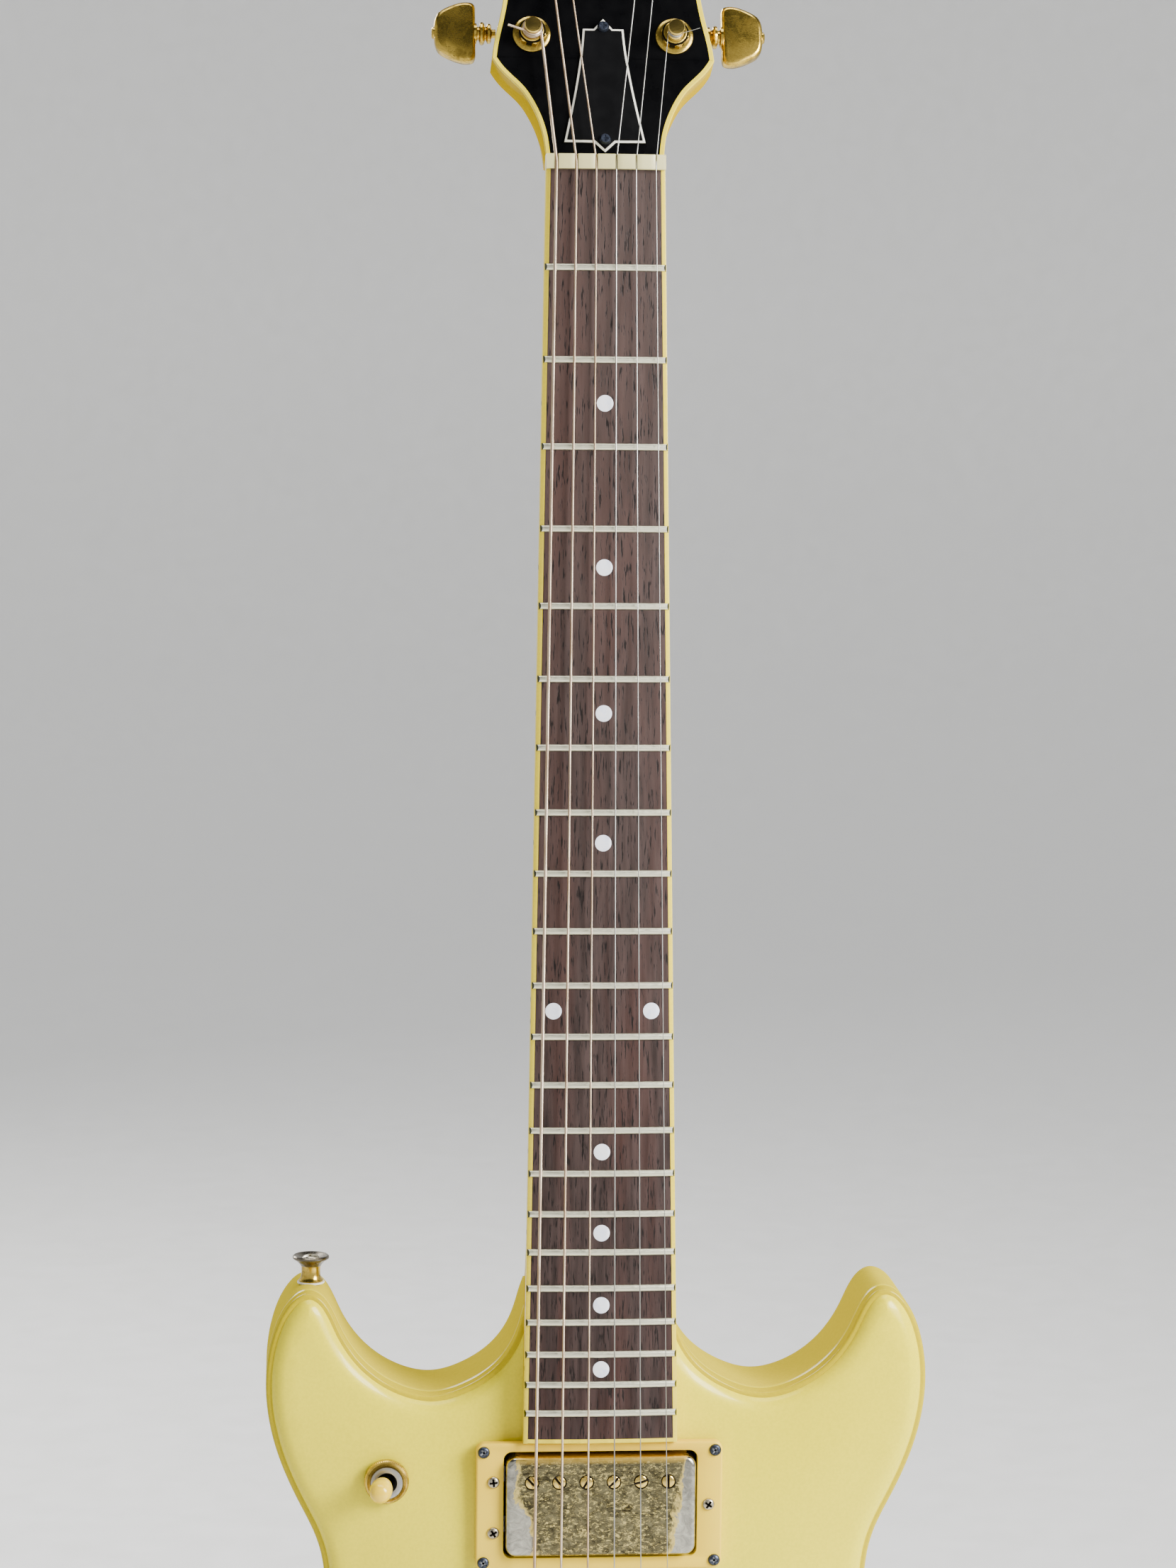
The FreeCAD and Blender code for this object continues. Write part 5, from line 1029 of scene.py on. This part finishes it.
def make_dots():
    """Position dots on the board's front and on its side."""
    parts, side_parts = [], []
    for fret in (3, 5, 7, 9, 12, 15, 17, 19, 21):
        up = FRET_22 - (to_fret(fret) + to_fret(fret - 1)) / 2
        for across in ((-DOT_PAIR, DOT_PAIR) if fret == 12 else (0.0,)):
            start = neck([(across, float(crown_y(across)) + 0.8, up)])[0]
            outward = NECK_TURN @ np.array([across / BOARD_RADIUS, -1.0, 0.0])
            parts.append(lathe([(3.0, 0), (3.0, 0.80), (2.93, 0.83)], start, outward, 40))
        for shift in ((-4.0, 4.0) if fret == 12 else (0.0,)):
            start = neck([(-half_width(up + shift) + 0.5, 3.6, up + shift)])[0]
            side_parts.append(lathe([(1.0, 0), (1.0, 0.5), (0.95, 0.52)], start, (-1, 0, 0), 20))
    new_piece("face_dots", *merge(parts), PEARL, replaces=("inlay_dots",), slot="pearl")
    new_piece("side_dots", *merge(side_parts), BLACK_PLASTIC, slot="black_plastic")


make_dots()
finish_cad("nut", IVORY, 0.25)


# ------------------------------------------------------------------------------------- strings

def tube(path, radius, segments=12):
    """A round tube along a path of points; its frame turns with the path."""
    path = np.asarray(path, float)
    ways = np.gradient(path, axis=0)
    ways /= np.linalg.norm(ways, axis=1)[:, None]
    side = np.array(Vector(ways[0]).orthogonal().normalized())
    rings = []
    turn = 2 * math.pi * np.arange(segments) / segments
    for point, way in zip(path, ways):
        side = side - way * np.dot(side, way)
        side /= np.linalg.norm(side)
        other = np.cross(way, side)
        rings.append(point + radius * (np.outer(np.cos(turn), side) + np.outer(np.sin(turn), other)))
    return rings_mesh(rings)


def softened_path(points, reach, steps=6):
    """Straight runs with a short round bend at each inner point."""
    points = [np.asarray(p, float) for p in points]
    path = [points[0]]
    for before, corner, after in zip(points, points[1:], points[2:]):
        start = corner + (before - corner) / np.linalg.norm(before - corner) * reach
        end = corner + (after - corner) / np.linalg.norm(after - corner) * reach
        for part in np.linspace(0, 1, steps):
            path.append((1 - part) ** 2 * start + 2 * part * (1 - part) * corner + part ** 2 * end)
    path.append(points[-1])
    return np.array(path)


def string_offset(number, spread):
    """How far a string lies from the middle, where the six span a spread."""
    return spread * (number / 5.0 - 0.5)


def string_anchor(number):
    """The post that a string winds on: its side's sign, its row, and its place."""
    sign = -1 if number < 3 else 1
    row = number if number < 3 else 5 - number
    return sign, row, TUNER_ROWS[row]


POST_WAIST = 2.5
WIND_DEPTH = -6.4
WIND_TURNS = (2.4, 3.0, 3.6, 4.4, 5.0, 5.4)
NUT_SPREAD, POLE_SPREAD, BRIDGE_SPREAD = 36.0, 50.0, 51.6


def winding_path(number):
    """Turns of string on the post, ending where the straight string leaves it."""
    sign, _, (across, along) = string_anchor(number)
    radius = STRING_RADII[number]
    turns = WIND_TURNS[number]
    reel = POST_WAIST + radius
    steps = int(turns * 28)
    path = []
    for k in range(steps + 1):
        part = k / steps
        angle = -2 * math.pi * turns * (1 - part)
        depth = WIND_DEPTH + 2.05 * radius * turns * (part - 0.5)
        path.append((sign * (across - reel * math.cos(angle)), depth, along + reel * math.sin(angle)))
    return path


def make_strings():
    """Each straight string over its saddle and the nut, and its winding on the post."""
    low, _ = node_box("strings")
    tail_low, tail_high = node_box("tailpiece")
    tail_y = (tail_low[1] + tail_high[1]) / 2
    for number, radius in enumerate(STRING_RADII):
        sign, row, _ = string_anchor(number)
        saddle_low, saddle_high = node_box("saddle_%d" % (number + 1))
        bridge_x = string_offset(number, BRIDGE_SPREAD)
        saddle = (bridge_x, low[1] + STRING_RADII[0], (saddle_low[2] + saddle_high[2]) / 2)
        nut_point = neck([(string_offset(number, NUT_SPREAD), -STRING_RISE, FRET_22 + NUT_THICK / 2)])[0]
        coil = winding_path(number)
        leave = head([coil[-1]])[0]
        ball = (bridge_x, tail_y, tail_low[2] + 3.5)
        mouth = (bridge_x, tail_y, tail_high[2] + 0.4)
        material = WOUND if number < 3 else PLAIN
        path = softened_path([ball, mouth, saddle, nut_point, leave], 1.6)
        replaced = ("strings",) if number == 0 else ()
        new_piece("string_%d" % (number + 1), *tube(path, radius, 14), material, replaces=replaced,
                  slot="string_steel")
        body = "post_%s_%d" % ("bass" if sign < 0 else "treble", row + 1)
        stub = np.array(coil[0]) + np.array([(0, 0, 0), (sign * 2.5, -0.4, 0.6), (sign * 6.5, -1.2, 1.6)])
        shape = merge([tube(head(coil), radius, 8), tube(head(stub), radius * 0.8, 8)])
        new_piece("winding_%d" % (number + 1), *shape, material, body=body, slot="string_steel")


make_strings()


# -------------------------------------------------------------------------------------- tuners

HEAD_FRONT = HEAD_TURN @ np.array([0.0, -1.0, 0.0])
SHAFT_BEHIND = VENEER + HEAD_DEPTH + 4.6
WORM_OFFSET = 8.45
BUTTON_START = 45.6


def make_button(tag, sign, along):
    """A tuner button: a rounded paddle, a turned stem and a small boss at its end."""
    worm = along + WORM_OFFSET
    corner = [(0.0, -9.0), (0.6, -10.8), (2.6, -11.6), (6.0, -11.3), (11.2, -9.2), (14.0, -7.1),
              (15.2, -4.0), (15.4, 0.0)]
    lower = natural_spline(corner, 5)
    loop = np.concatenate([lower, lower[-2::-1] * np.array([1.0, -1.0])])
    centre = np.array([7.2, 0.0])
    away = loop - centre
    span = np.linalg.norm(away, axis=1)[:, None]
    rounding = [(1.8, 0.12), (2.45, 0.6), (2.9, 1.3), (3.0, 1.7)]
    rings = []
    for depth, shrink in [(-d, s) for d, s in rounding[::-1]] + [(0, 0)] + rounding:
        plan = centre + away * (1 - shrink / span)
        across = sign * (BUTTON_START + plan[:, 0])
        rings.append(head(at_depth(np.stack([across, worm + plan[:, 1]], axis=1), SHAFT_BEHIND + depth)))
    start = head([(0, SHAFT_BEHIND, worm)])[0]
    out = (sign, 0, 0)
    stem = [(1.6, 38.2), (1.6, 39.6), (3.2, 39.9), (3.7, 40.3), (3.7, 41.2), (2.6, 41.7), (2.5, 42.0),
            (3.9, 42.5), (4.3, 43.1), (4.1, 43.9), (2.5, 44.4), (2.5, 44.9), (3.8, 45.3), (3.9, 46.2),
            (2.4, 46.6)]
    boss = [(2.2, 60.2), (2.2, 61.3), (1.7, 61.8), (0.6, 61.9)]
    shape = merge([rings_mesh(rings), lathe(stem, start, out, 32), lathe(boss, start, out, 24)])
    new_piece("button_" + tag, *shape, GOLD, body="button_" + tag, replaces=("tuner_button_" + tag,),
              slot="gold")


def make_post(tag, sign, across, along):
    """A string post with a waist where the string winds."""
    base = head([(sign * across, 0, along)])[0]
    profile = [(3.05, -21.0), (3.05, 4.6), (2.95, 4.8), (POST_WAIST, 5.1), (POST_WAIST, 7.9), (2.9, 8.2),
               (3.1, 8.5), (3.1, 9.0), (2.75, 9.4), (1.2, 9.5)]
    new_piece("post_" + tag, *lathe(profile, base, HEAD_FRONT, 36), GOLD_CLEAN, body="post_" + tag,
              replaces=("tuner_post_" + tag,), slot="gold")


def bushing_mesh(sign, across, along):
    """A washer, a hexagon and a collar round a post."""
    base = head([(sign * across, 0, along)])[0]
    washer = [(3.4, 0.0), (6.9, 0.0), (7.0, 0.25), (6.85, 0.8), (6.2, 1.15), (5.6, 1.3), (3.4, 1.3)]
    hexagon = [(3.4, 1.25), (5.3, 1.25), (5.45, 1.5), (5.45, 3.3), (5.0, 3.75), (3.4, 3.8)]
    collar = [(3.25, 3.6), (4.35, 3.6), (4.35, 4.3), (4.0, 4.55), (3.25, 4.55)]
    return [lathe(profile, base, HEAD_FRONT, sides) for profile, sides in
            ((washer, 48), (hexagon, 6), (collar, 40))]


def make_tuners():
    """Six buttons and posts, their bushings, and the housings behind."""
    bushings = []
    for side_name, sign in (("bass", -1), ("treble", 1)):
        for row, (across, along) in enumerate(TUNER_ROWS, start=1):
            tag = "%s_%d" % (side_name, row)
            make_button(tag, sign, along)
            make_post(tag, sign, across, along)
            bushings += bushing_mesh(sign, across, along)
    new_piece("bushings", *merge(bushings), GOLD, replaces=("tuner_bushings",), slot="gold", bevel=0.12)
    finish_cad("tuner_housings", GOLD, 0.8, 3)


make_tuners()


# ------------------------------------------------------------------------------------- pickups

def rounded_plate(loop_of, front, back, round_edge, steps=5):
    """A plate over a plan loop whose front edge is rounded; loop_of gives the loop at an inset."""
    rings = [at_depth(loop_of(0.0), back)]
    for turn in np.linspace(0, math.pi / 2, steps):
        loop = loop_of(round_edge * (1 - math.cos(turn)))
        rings.append(at_depth(loop, front + round_edge * (1 - math.sin(turn))))
    return rings_mesh(rings)


COVER_SHIFT, COVER_X = 0.8, 0.4
COVER_WIDTH, COVER_HEIGHT = 69.6, 37.0
WINDOW_WIDTH, WINDOW_HEIGHT = 71.2, 39.8
POLE_RISE = 9.3
RING_SCREWS = [(sx * 42.5, sz * 20.7) for sx in (-1, 1) for sz in (-1, 1)]
HEIGHT_SCREWS = ((-38.9, 9.5), (-38.9, -9.5), (40.2, 0.3))
POLE_ANGLES = (0.80, 0.87, -1.05, -0.80, -0.28, 1.55)


def make_ring(node):
    """A pickup's moulded mounting ring, with its window."""
    low, high = node_box(node)
    middle = ((low[0] + high[0]) / 2, (low[2] + high[2]) / 2)
    width, height = high[0] - low[0], high[2] - low[2]

    def loop_of(inset):
        return rounded_rectangle(width - 2 * inset, height - 2 * inset, 3.2 - inset * 0.8, middle)

    shape = rounded_plate(loop_of, low[1], high[1], 0.8)
    piece = new_piece(node + "_moulded", *shape, CREAM_PLASTIC, replaces=(node,), slot="cream_plastic")
    window = rounded_rectangle(WINDOW_WIDTH, WINDOW_HEIGHT, 3.0, (COVER_X, middle[1] + COVER_SHIFT))
    carve(piece, [prism(window, low[1] - 2, high[1] + 2)], 0.25)


def make_cover(middle, tag, front):
    """A pickup's pressed metal cover, with six holes for its pole screws."""
    def loop_of(inset):
        wide, high = COVER_WIDTH - 2 * inset, COVER_HEIGHT - 2 * inset
        return rounded_rectangle(wide, high, max(3.8 - inset * 0.6, 0.6), (COVER_X, middle), 10)

    shape = rounded_plate(loop_of, front, front + 12.0, 1.6, 8)
    piece = new_piece("cover_" + tag, *shape, COVER_GOLD, slot="worn_gold",
                      replaces=("pickup_covers",) if tag == "neck" else ())
    holes = []
    for number in range(6):
        place = (string_offset(number, POLE_SPREAD), front - 1, middle + POLE_RISE)
        holes.append(lathe([(2.75, 0), (2.75, 3.0)], place, (0, 1, 0), 32))
    carve(piece, [merge(holes)])


def pole_screw(place, radius, angle):
    """A domed slotted screw head that faces the front, and its slot's cutter."""
    dome = [(radius, -2.1), (radius, -0.30), (2.25, -0.02), (1.9, 0.16), (1.2, 0.30), (0.4, 0.36),
            (0.02, 0.37)]
    solid = lathe(dome, place, FRONT, 32)
    box, box_faces = box_points((-radius - 1, -3.0, -0.42), (radius + 1, 0.35, 0.42))
    turn = np.array(Matrix.Rotation(angle, 3, "Y"))
    return solid, (box @ turn.T + np.asarray(place), box_faces)


def phillips(seat, outward, radius, length, angle, rise=1.25):
    """A domed screw with a crossed recess, and the cutters of the cross."""
    outward = np.array(Vector(outward).normalized())
    profile = [(1.3, -length), (1.3, 0.0), (radius, 0.0), (radius, rise * 0.2), (radius * 0.93, rise * 0.5),
               (radius * 0.72, rise * 0.82), (radius * 0.4, rise * 0.98), (0.02, rise)]
    solid = lathe(profile, seat, outward, 28)
    side = np.array(Vector(outward).orthogonal().normalized())
    other = np.cross(outward, side)
    cutters = []
    for quarter in (0, 1):
        turn = angle + quarter * math.pi / 2
        along = side * math.cos(turn) + other * math.sin(turn)
        across = np.cross(outward, along)
        box, faces = box_points((-radius * 0.66, -0.42, rise - 0.85), (radius * 0.66, 0.42, rise + 1.0))
        points = np.asarray(seat) + np.outer(box[:, 0], along) + np.outer(box[:, 1], across)
        cutters.append((points + np.outer(box[:, 2], outward), faces))
    return solid, cutters


def screw_set(name, places, material, slot, replaces=(), recess=RECESS_SHADE):
    """Several crosshead screws as one piece, from (seat, outward, radius, length, angle).

    A second piece lies in their crosses and gives them the recess colour: a dark painted shade unless another
    is given.
    """
    solids, first, second = [], [], []
    for seat, outward, radius, length, angle in places:
        solid, cutters = phillips(seat, outward, radius, length, angle)
        solids.append(solid)
        first.append(cutters[0])
        second.append(cutters[1])
    piece = new_piece(name, *merge(solids), material, slot=slot, replaces=replaces)
    carve(piece, [merge(first), merge(second)], 0.06)
    # A thin sheet sunk in each cross carries the recess colour: painted shade unless another is given.
    grime_and_shade = []
    for (seat, outward, *_), bars in zip(places, zip(first, second)):
        outward = np.array(Vector(outward).normalized())
        for points, faces in bars:
            height = (points - np.asarray(seat)) @ outward
            low = height < height.mean()
            sunk_sheet = points - np.outer(np.where(low, 0.05, height - height.min() - 0.12), outward)
            grime_and_shade.append((sunk_sheet, faces))
    new_piece(name + "_grime", *merge(grime_and_shade), recess, slot=slot)


def make_pickup(ring_node, tag):
    """A pickup: ring, cover, pole screws, corner screws and height screws."""
    low, high = node_box(ring_node)
    front = TOP_Y - (15.6 if tag == "bridge" else 7.6)
    ring_middle = (low[2] + high[2]) / 2
    middle = ring_middle + COVER_SHIFT
    make_ring(ring_node)
    make_cover(middle, tag, front)
    screws, grooves = [], []
    for number in range(6):
        place = (string_offset(number, POLE_SPREAD), front - 0.1, middle + POLE_RISE)
        solid, groove = pole_screw(place, 2.42, POLE_ANGLES[number] + (0.6 if tag == "bridge" else 0.0))
        screws.append(solid)
        grooves.append(groove)
    piece = new_piece("poles_" + tag, *merge(screws), GOLD_CLEAN, slot="gold",
                      replaces=("pole_screws",) if tag == "neck" else ())
    carve(piece, [merge(grooves)], 0.08)
    # A dark sheet sunk in each pole screw's slot: painted shade.
    grime_and_shade = []
    for points, faces in grooves:
        inner = points[:, 1] > points[:, 1].mean()
        depth = np.where(inner, points[:, 1], points[:, 1].max() - 0.12)
        grime_and_shade.append((at_depth(points[:, [0, 2]], depth), faces))
    new_piece("poles_%s_grime" % tag, *merge(grime_and_shade), RECESS_SHADE, slot="gold")
    face, thick = low[1] + 0.02, high[1] - low[1]
    corners = [((across, face, ring_middle + up), FRONT, 2.2, thick + 7.5, 0.4 + number)
               for number, (across, up) in enumerate(RING_SCREWS)]
    screw_set("ring_screws_" + tag, corners, BLACK_STEEL, "nickel_screws", recess=GREY_RECESS)
    lifts = [((across, face, ring_middle + up), FRONT, 2.25, front + 18.8 - face, 0.9 + 2 * number)
             for number, (across, up) in enumerate(HEIGHT_SCREWS)]
    screw_set("height_screws_" + tag, lifts, NICKEL, "nickel_screws",
              ("pickup_screws",) if tag == "neck" else ())


make_pickup("pickup_ring_neck", "neck")
make_pickup("pickup_ring_bridge", "bridge")


# ------------------------------------------------------------------------ switch, strap buttons

SWITCH_PIVOT = np.array([SWITCH_X, TOP_Y + 5.0, SWITCH_Z])
SWITCH_LEAN = math.radians(-7.5)


def make_switch():
    """The switch's knurled nut, threaded sleeve, and lever with its tip."""
    face = (SWITCH_X, TOP_Y + 0.45, SWITCH_Z)
    rim = [(5.9, 0.0), (8.0, 0.0), (8.2, 0.3), (8.2, 2.1), (7.7, 2.7), (7.1, 2.95), (6.6, 2.7), (5.9, 2.6)]
    shape = turned_ring(rim, face, FRONT, 144, 0.22, 8.1)
    new_piece("switch_ring", *shape, GOLD, replaces=("switch_nut",), slot="gold")
    sleeve = [(3.2, -6.0), (5.9, -6.0), (5.9, 3.0), (5.7, 3.4), (5.4, 3.5), (5.1, 3.3), (5.0, 2.7),
              (4.8, 2.7), (4.65, 3.3), (4.4, 3.5), (4.05, 3.3), (3.6, 2.2), (3.2, 0.0)]
    # The sleeve's darker nickel is a painted dark reflection.
    new_piece("switch_sleeve", *turned_ring(sleeve, face, FRONT, 64), NICKEL_DARK_REFLECTION, slot="steel")
    turn = np.array(Matrix.Rotation(SWITCH_LEAN, 3, "Z"))
    stem = [(1.5, -4.9), (1.6, -4.5), (1.6, 12.0), (0.5, 12.2)]
    points, faces = lathe(stem, (0, 0, 0), FRONT, 24)
    new_piece("switch_stem", points @ turn.T + SWITCH_PIVOT, faces, STEEL, body="switch", slot="steel")
    tip = [(1.0, 11.25), (2.9, 11.25), (3.2, 11.45), (3.3, 11.8), (3.25, 12.1), (3.5, 12.5), (3.6, 12.9),
           (3.5, 13.2), (3.75, 13.8), (4.0, 15.0), (4.12, 17.0), (4.1, 19.0), (3.9, 20.6), (3.45, 21.9),
           (2.7, 22.8), (1.7, 23.3), (0.8, 23.45), (0.02, 23.5)]
    points, faces = lathe(tip, (0, 0, 0), FRONT, 48)
    new_piece("switch_tip", points @ turn.T + SWITCH_PIVOT, faces, TIP_PLASTIC, body="switch",
              replaces=("switch_lever",), slot="cream_plastic")


make_switch()


def make_strap_buttons():
    """Two strap buttons: felt, waisted neck, dished head and screw."""
    seats = (((-105.5, 0.0, 407.4), (0, 0, 1)), ((0.0, 0.0, 0.0), (0, 0, -1)))
    felt = [(1.7, 0.1), (5.0, 0.1), (5.1, 0.4), (5.0, 0.75), (1.7, 0.75)]
    waist = [(1.7, 0.8), (4.5, 0.8), (4.6, 1.1), (4.3, 1.5), (3.7, 2.2), (3.5, 3.4), (3.5, 5.6), (3.7, 6.6),
             (1.7, 6.6)]
    dish = [(1.7, 6.4), (3.8, 6.6), (4.3, 7.4), (5.3, 8.4), (6.5, 9.1), (6.78, 9.5), (6.75, 10.1),
            (6.3, 10.5), (5.4, 10.35), (3.6, 9.6), (1.7, 9.3)]

    def at_both(profile):
        return merge([turned_ring(profile, seat, out) for seat, out in seats])

    new_piece("strap_felts", *at_both(felt), FELT)
    new_piece("strap_necks", *at_both(waist), GOLD, replaces=("strap_buttons",), slot="gold")
    # The heads' darker nickel is a painted dark reflection.
    new_piece("strap_heads", *at_both(dish), NICKEL_DARK_REFLECTION, slot="nickel_screws")
    screws = [(np.asarray(seat) + np.asarray(out) * 9.35, out, 3.1, 26.0, 0.6) for seat, out in seats]
    screw_set("strap_screws", screws, NICKEL, "nickel_screws")


make_strap_buttons()


# --------------------------------------------------------------------------------------- knobs

def make_knobs():
    """Fluted knobs with a pointer line, each with its shaft."""
    profile = [(8.6, 0.0), (12.0, 0.0), (12.0, 2.2), (11.7, 2.9), (11.0, 3.5), (10.8, 4.2), (10.0, 12.6),
               (9.7, 13.4), (9.0, 14.1), (7.8, 14.4), (6.6, 14.2), (6.0, 13.8), (3.0, 13.8), (3.0, 3.4),
               (8.6, 3.4)]
    seat = TOP_Y - 0.9
    for number, (x, z) in enumerate(KNOBS, start=1):
        back = (x, seat, z)
        points, faces = turned_ring(profile, back, FRONT, 96)
        away = points - np.array([x, 0, z])
        span = np.hypot(away[:, 0], away[:, 2])
        fluted = (span > 9.5) & (span < 11.2)
        turn = np.arctan2(away[:, 2], away[:, 0])
        shrink = 1 - 0.03 * (np.cos(turn * 24) > 0.2)
        points[fluted, 0] = x + away[fluted, 0] * shrink[fluted]
        points[fluted, 2] = z + away[fluted, 2] * shrink[fluted]
        stem = lathe([(2.9, -15.0), (2.9, 13.9), (2.5, 14.2), (0.5, 14.2)], back, FRONT, 32)
        line = box_points((x - 0.4, seat - 14.3, z + 3.2), (x + 0.4, seat - 13.7, z + 7.6))
        body = "knob_%d" % number
        new_piece(body + "_turned", *merge([(points, faces), stem]), GOLD, body=body, replaces=(body,),
                  slot="gold")
        new_piece(body + "_line", *line, BLACK_PLASTIC, body=body, slot="gold")


make_knobs()


# ------------------------------------------------------------------------------- carried nodes

for node, material, bevel in (
        ("cover_screws", BLACK_STEEL, 0.12), ("pickup_bobbins", BLACK_PLASTIC, 0.2),
        ("pickup_undersides", STEEL, 0.1), ("bridge_base", GOLD, 0.8), ("bridge_posts", GOLD, 0.3),
        ("saddle_screws", GOLD, 0.15), ("tailpiece", GOLD, 1.4), ("tailpiece_studs", GOLD, 0.6),
        ("stud_bushings", GOLD, 0.3), ("potentiometers", STEEL, 0.3), ("switch_frame", STEEL, 0.25),
        ("back_covers", BLACK_PLASTIC, 0.3), ("jack_plate", GOLD, 0.4),
        ("jack_socket", GOLD, 0.25), ("wiring", CABLE, 0.0), ("truss_rod", STEEL, 0.2)):
    finish_cad(node, material, bevel)
for number in range(1, 7):
    finish_cad("saddle_%d" % number, GOLD, 0.25)

# ------------------------------------------------------------------------ stage, light, camera
# The stage, the lamps and the camera are in metres.

FLOOR_Z = cad_bounds[0][2] - 0.001


def make_stage():
    """A pale round floor that curves up into a pale wall on every side."""
    rows = [(0.01, 0.0), (4.6, 0.0), (5.2, 0.05), (5.7, 0.22), (6.0, 0.5), (6.15, 0.9), (6.2, 5.0)]
    sides = 72
    turn = 2 * math.pi * np.arange(sides) / sides
    rings = [np.stack([r * np.cos(turn), r * np.sin(turn), np.full(sides, FLOOR_Z + rise)], axis=1)
             for r, rise in rows]
    points, faces = rings_mesh(rings, caps=False)
    mesh = bpy.data.meshes.new("floor")
    mesh.from_pydata([tuple(p) for p in points], [], [tuple(range(sides))] + faces)
    mesh.materials.append(floor_paper())
    for polygon in mesh.polygons:
        polygon.use_smooth = True
    floor = bpy.data.objects.new("floor", mesh)
    bpy.context.scene.collection.objects.link(floor)


def add_light(name, place, target, wide, high, power):
    """A soft rectangular lamp that faces a target and isn't seen itself."""
    data = bpy.data.lights.new(name, "AREA")
    data.shape = "RECTANGLE"
    data.size, data.size_y = wide, high
    data.energy = power
    lamp = bpy.data.objects.new(name, data)
    lamp.location = place
    lamp.visible_camera = False
    lamp.rotation_euler = (Vector(target) - Vector(place)).to_track_quat("-Z", "Y").to_euler()
    bpy.context.scene.collection.objects.link(lamp)


make_stage()
add_light("key", (1.05, -0.78, 1.15), (0, 0, 0.45), 0.7, 0.7, 54)
add_light("side", (0.62, -0.55, 0.6), (0.1, 0, 0.32), 0.4, 0.4, 3.6)
add_light("top", (0.0, 0.0, 2.4), (0, 0, 0.4), 1.6, 1.2, 26)
add_light("back", (-0.9, 1.6, 1.5), (0, 0, 0.45), 0.9, 0.9, 40)
world = bpy.data.worlds.new("studio")
world.use_nodes = True
sky = world.node_tree.nodes["Background"]
sky.inputs["Color"].default_value = (0.9, 0.95, 1.0, 1)
sky.inputs["Strength"].default_value = 0.06
bpy.context.scene.world = world

# Metres: where the camera stands, and its own three directions.
CAMERA_PLACE = Vector((-0.11203, -1.38738, 0.73480))
CAMERA_RIGHT = Vector((0.99702, -0.07658, 0.00921))
CAMERA_UP = Vector((-0.0014, 0.10154, 0.99483))
CAMERA_BACK = Vector((-0.07712, -0.99188, 0.10113))


def make_camera():
    """The camera at the viewing angle that shows the neck and the upper body."""
    data = bpy.data.cameras.new("camera")
    data.lens = 87.31
    data.sensor_width = 36.0
    data.sensor_fit = "AUTO"
    data.clip_start = 0.01
    camera = bpy.data.objects.new("camera", data)
    turn = Matrix((CAMERA_RIGHT, CAMERA_UP, CAMERA_BACK)).transposed()
    camera.matrix_world = Matrix.Translation(CAMERA_PLACE) @ turn.to_4x4()
    bpy.context.scene.collection.objects.link(camera)
    bpy.context.scene.camera = camera


make_camera()
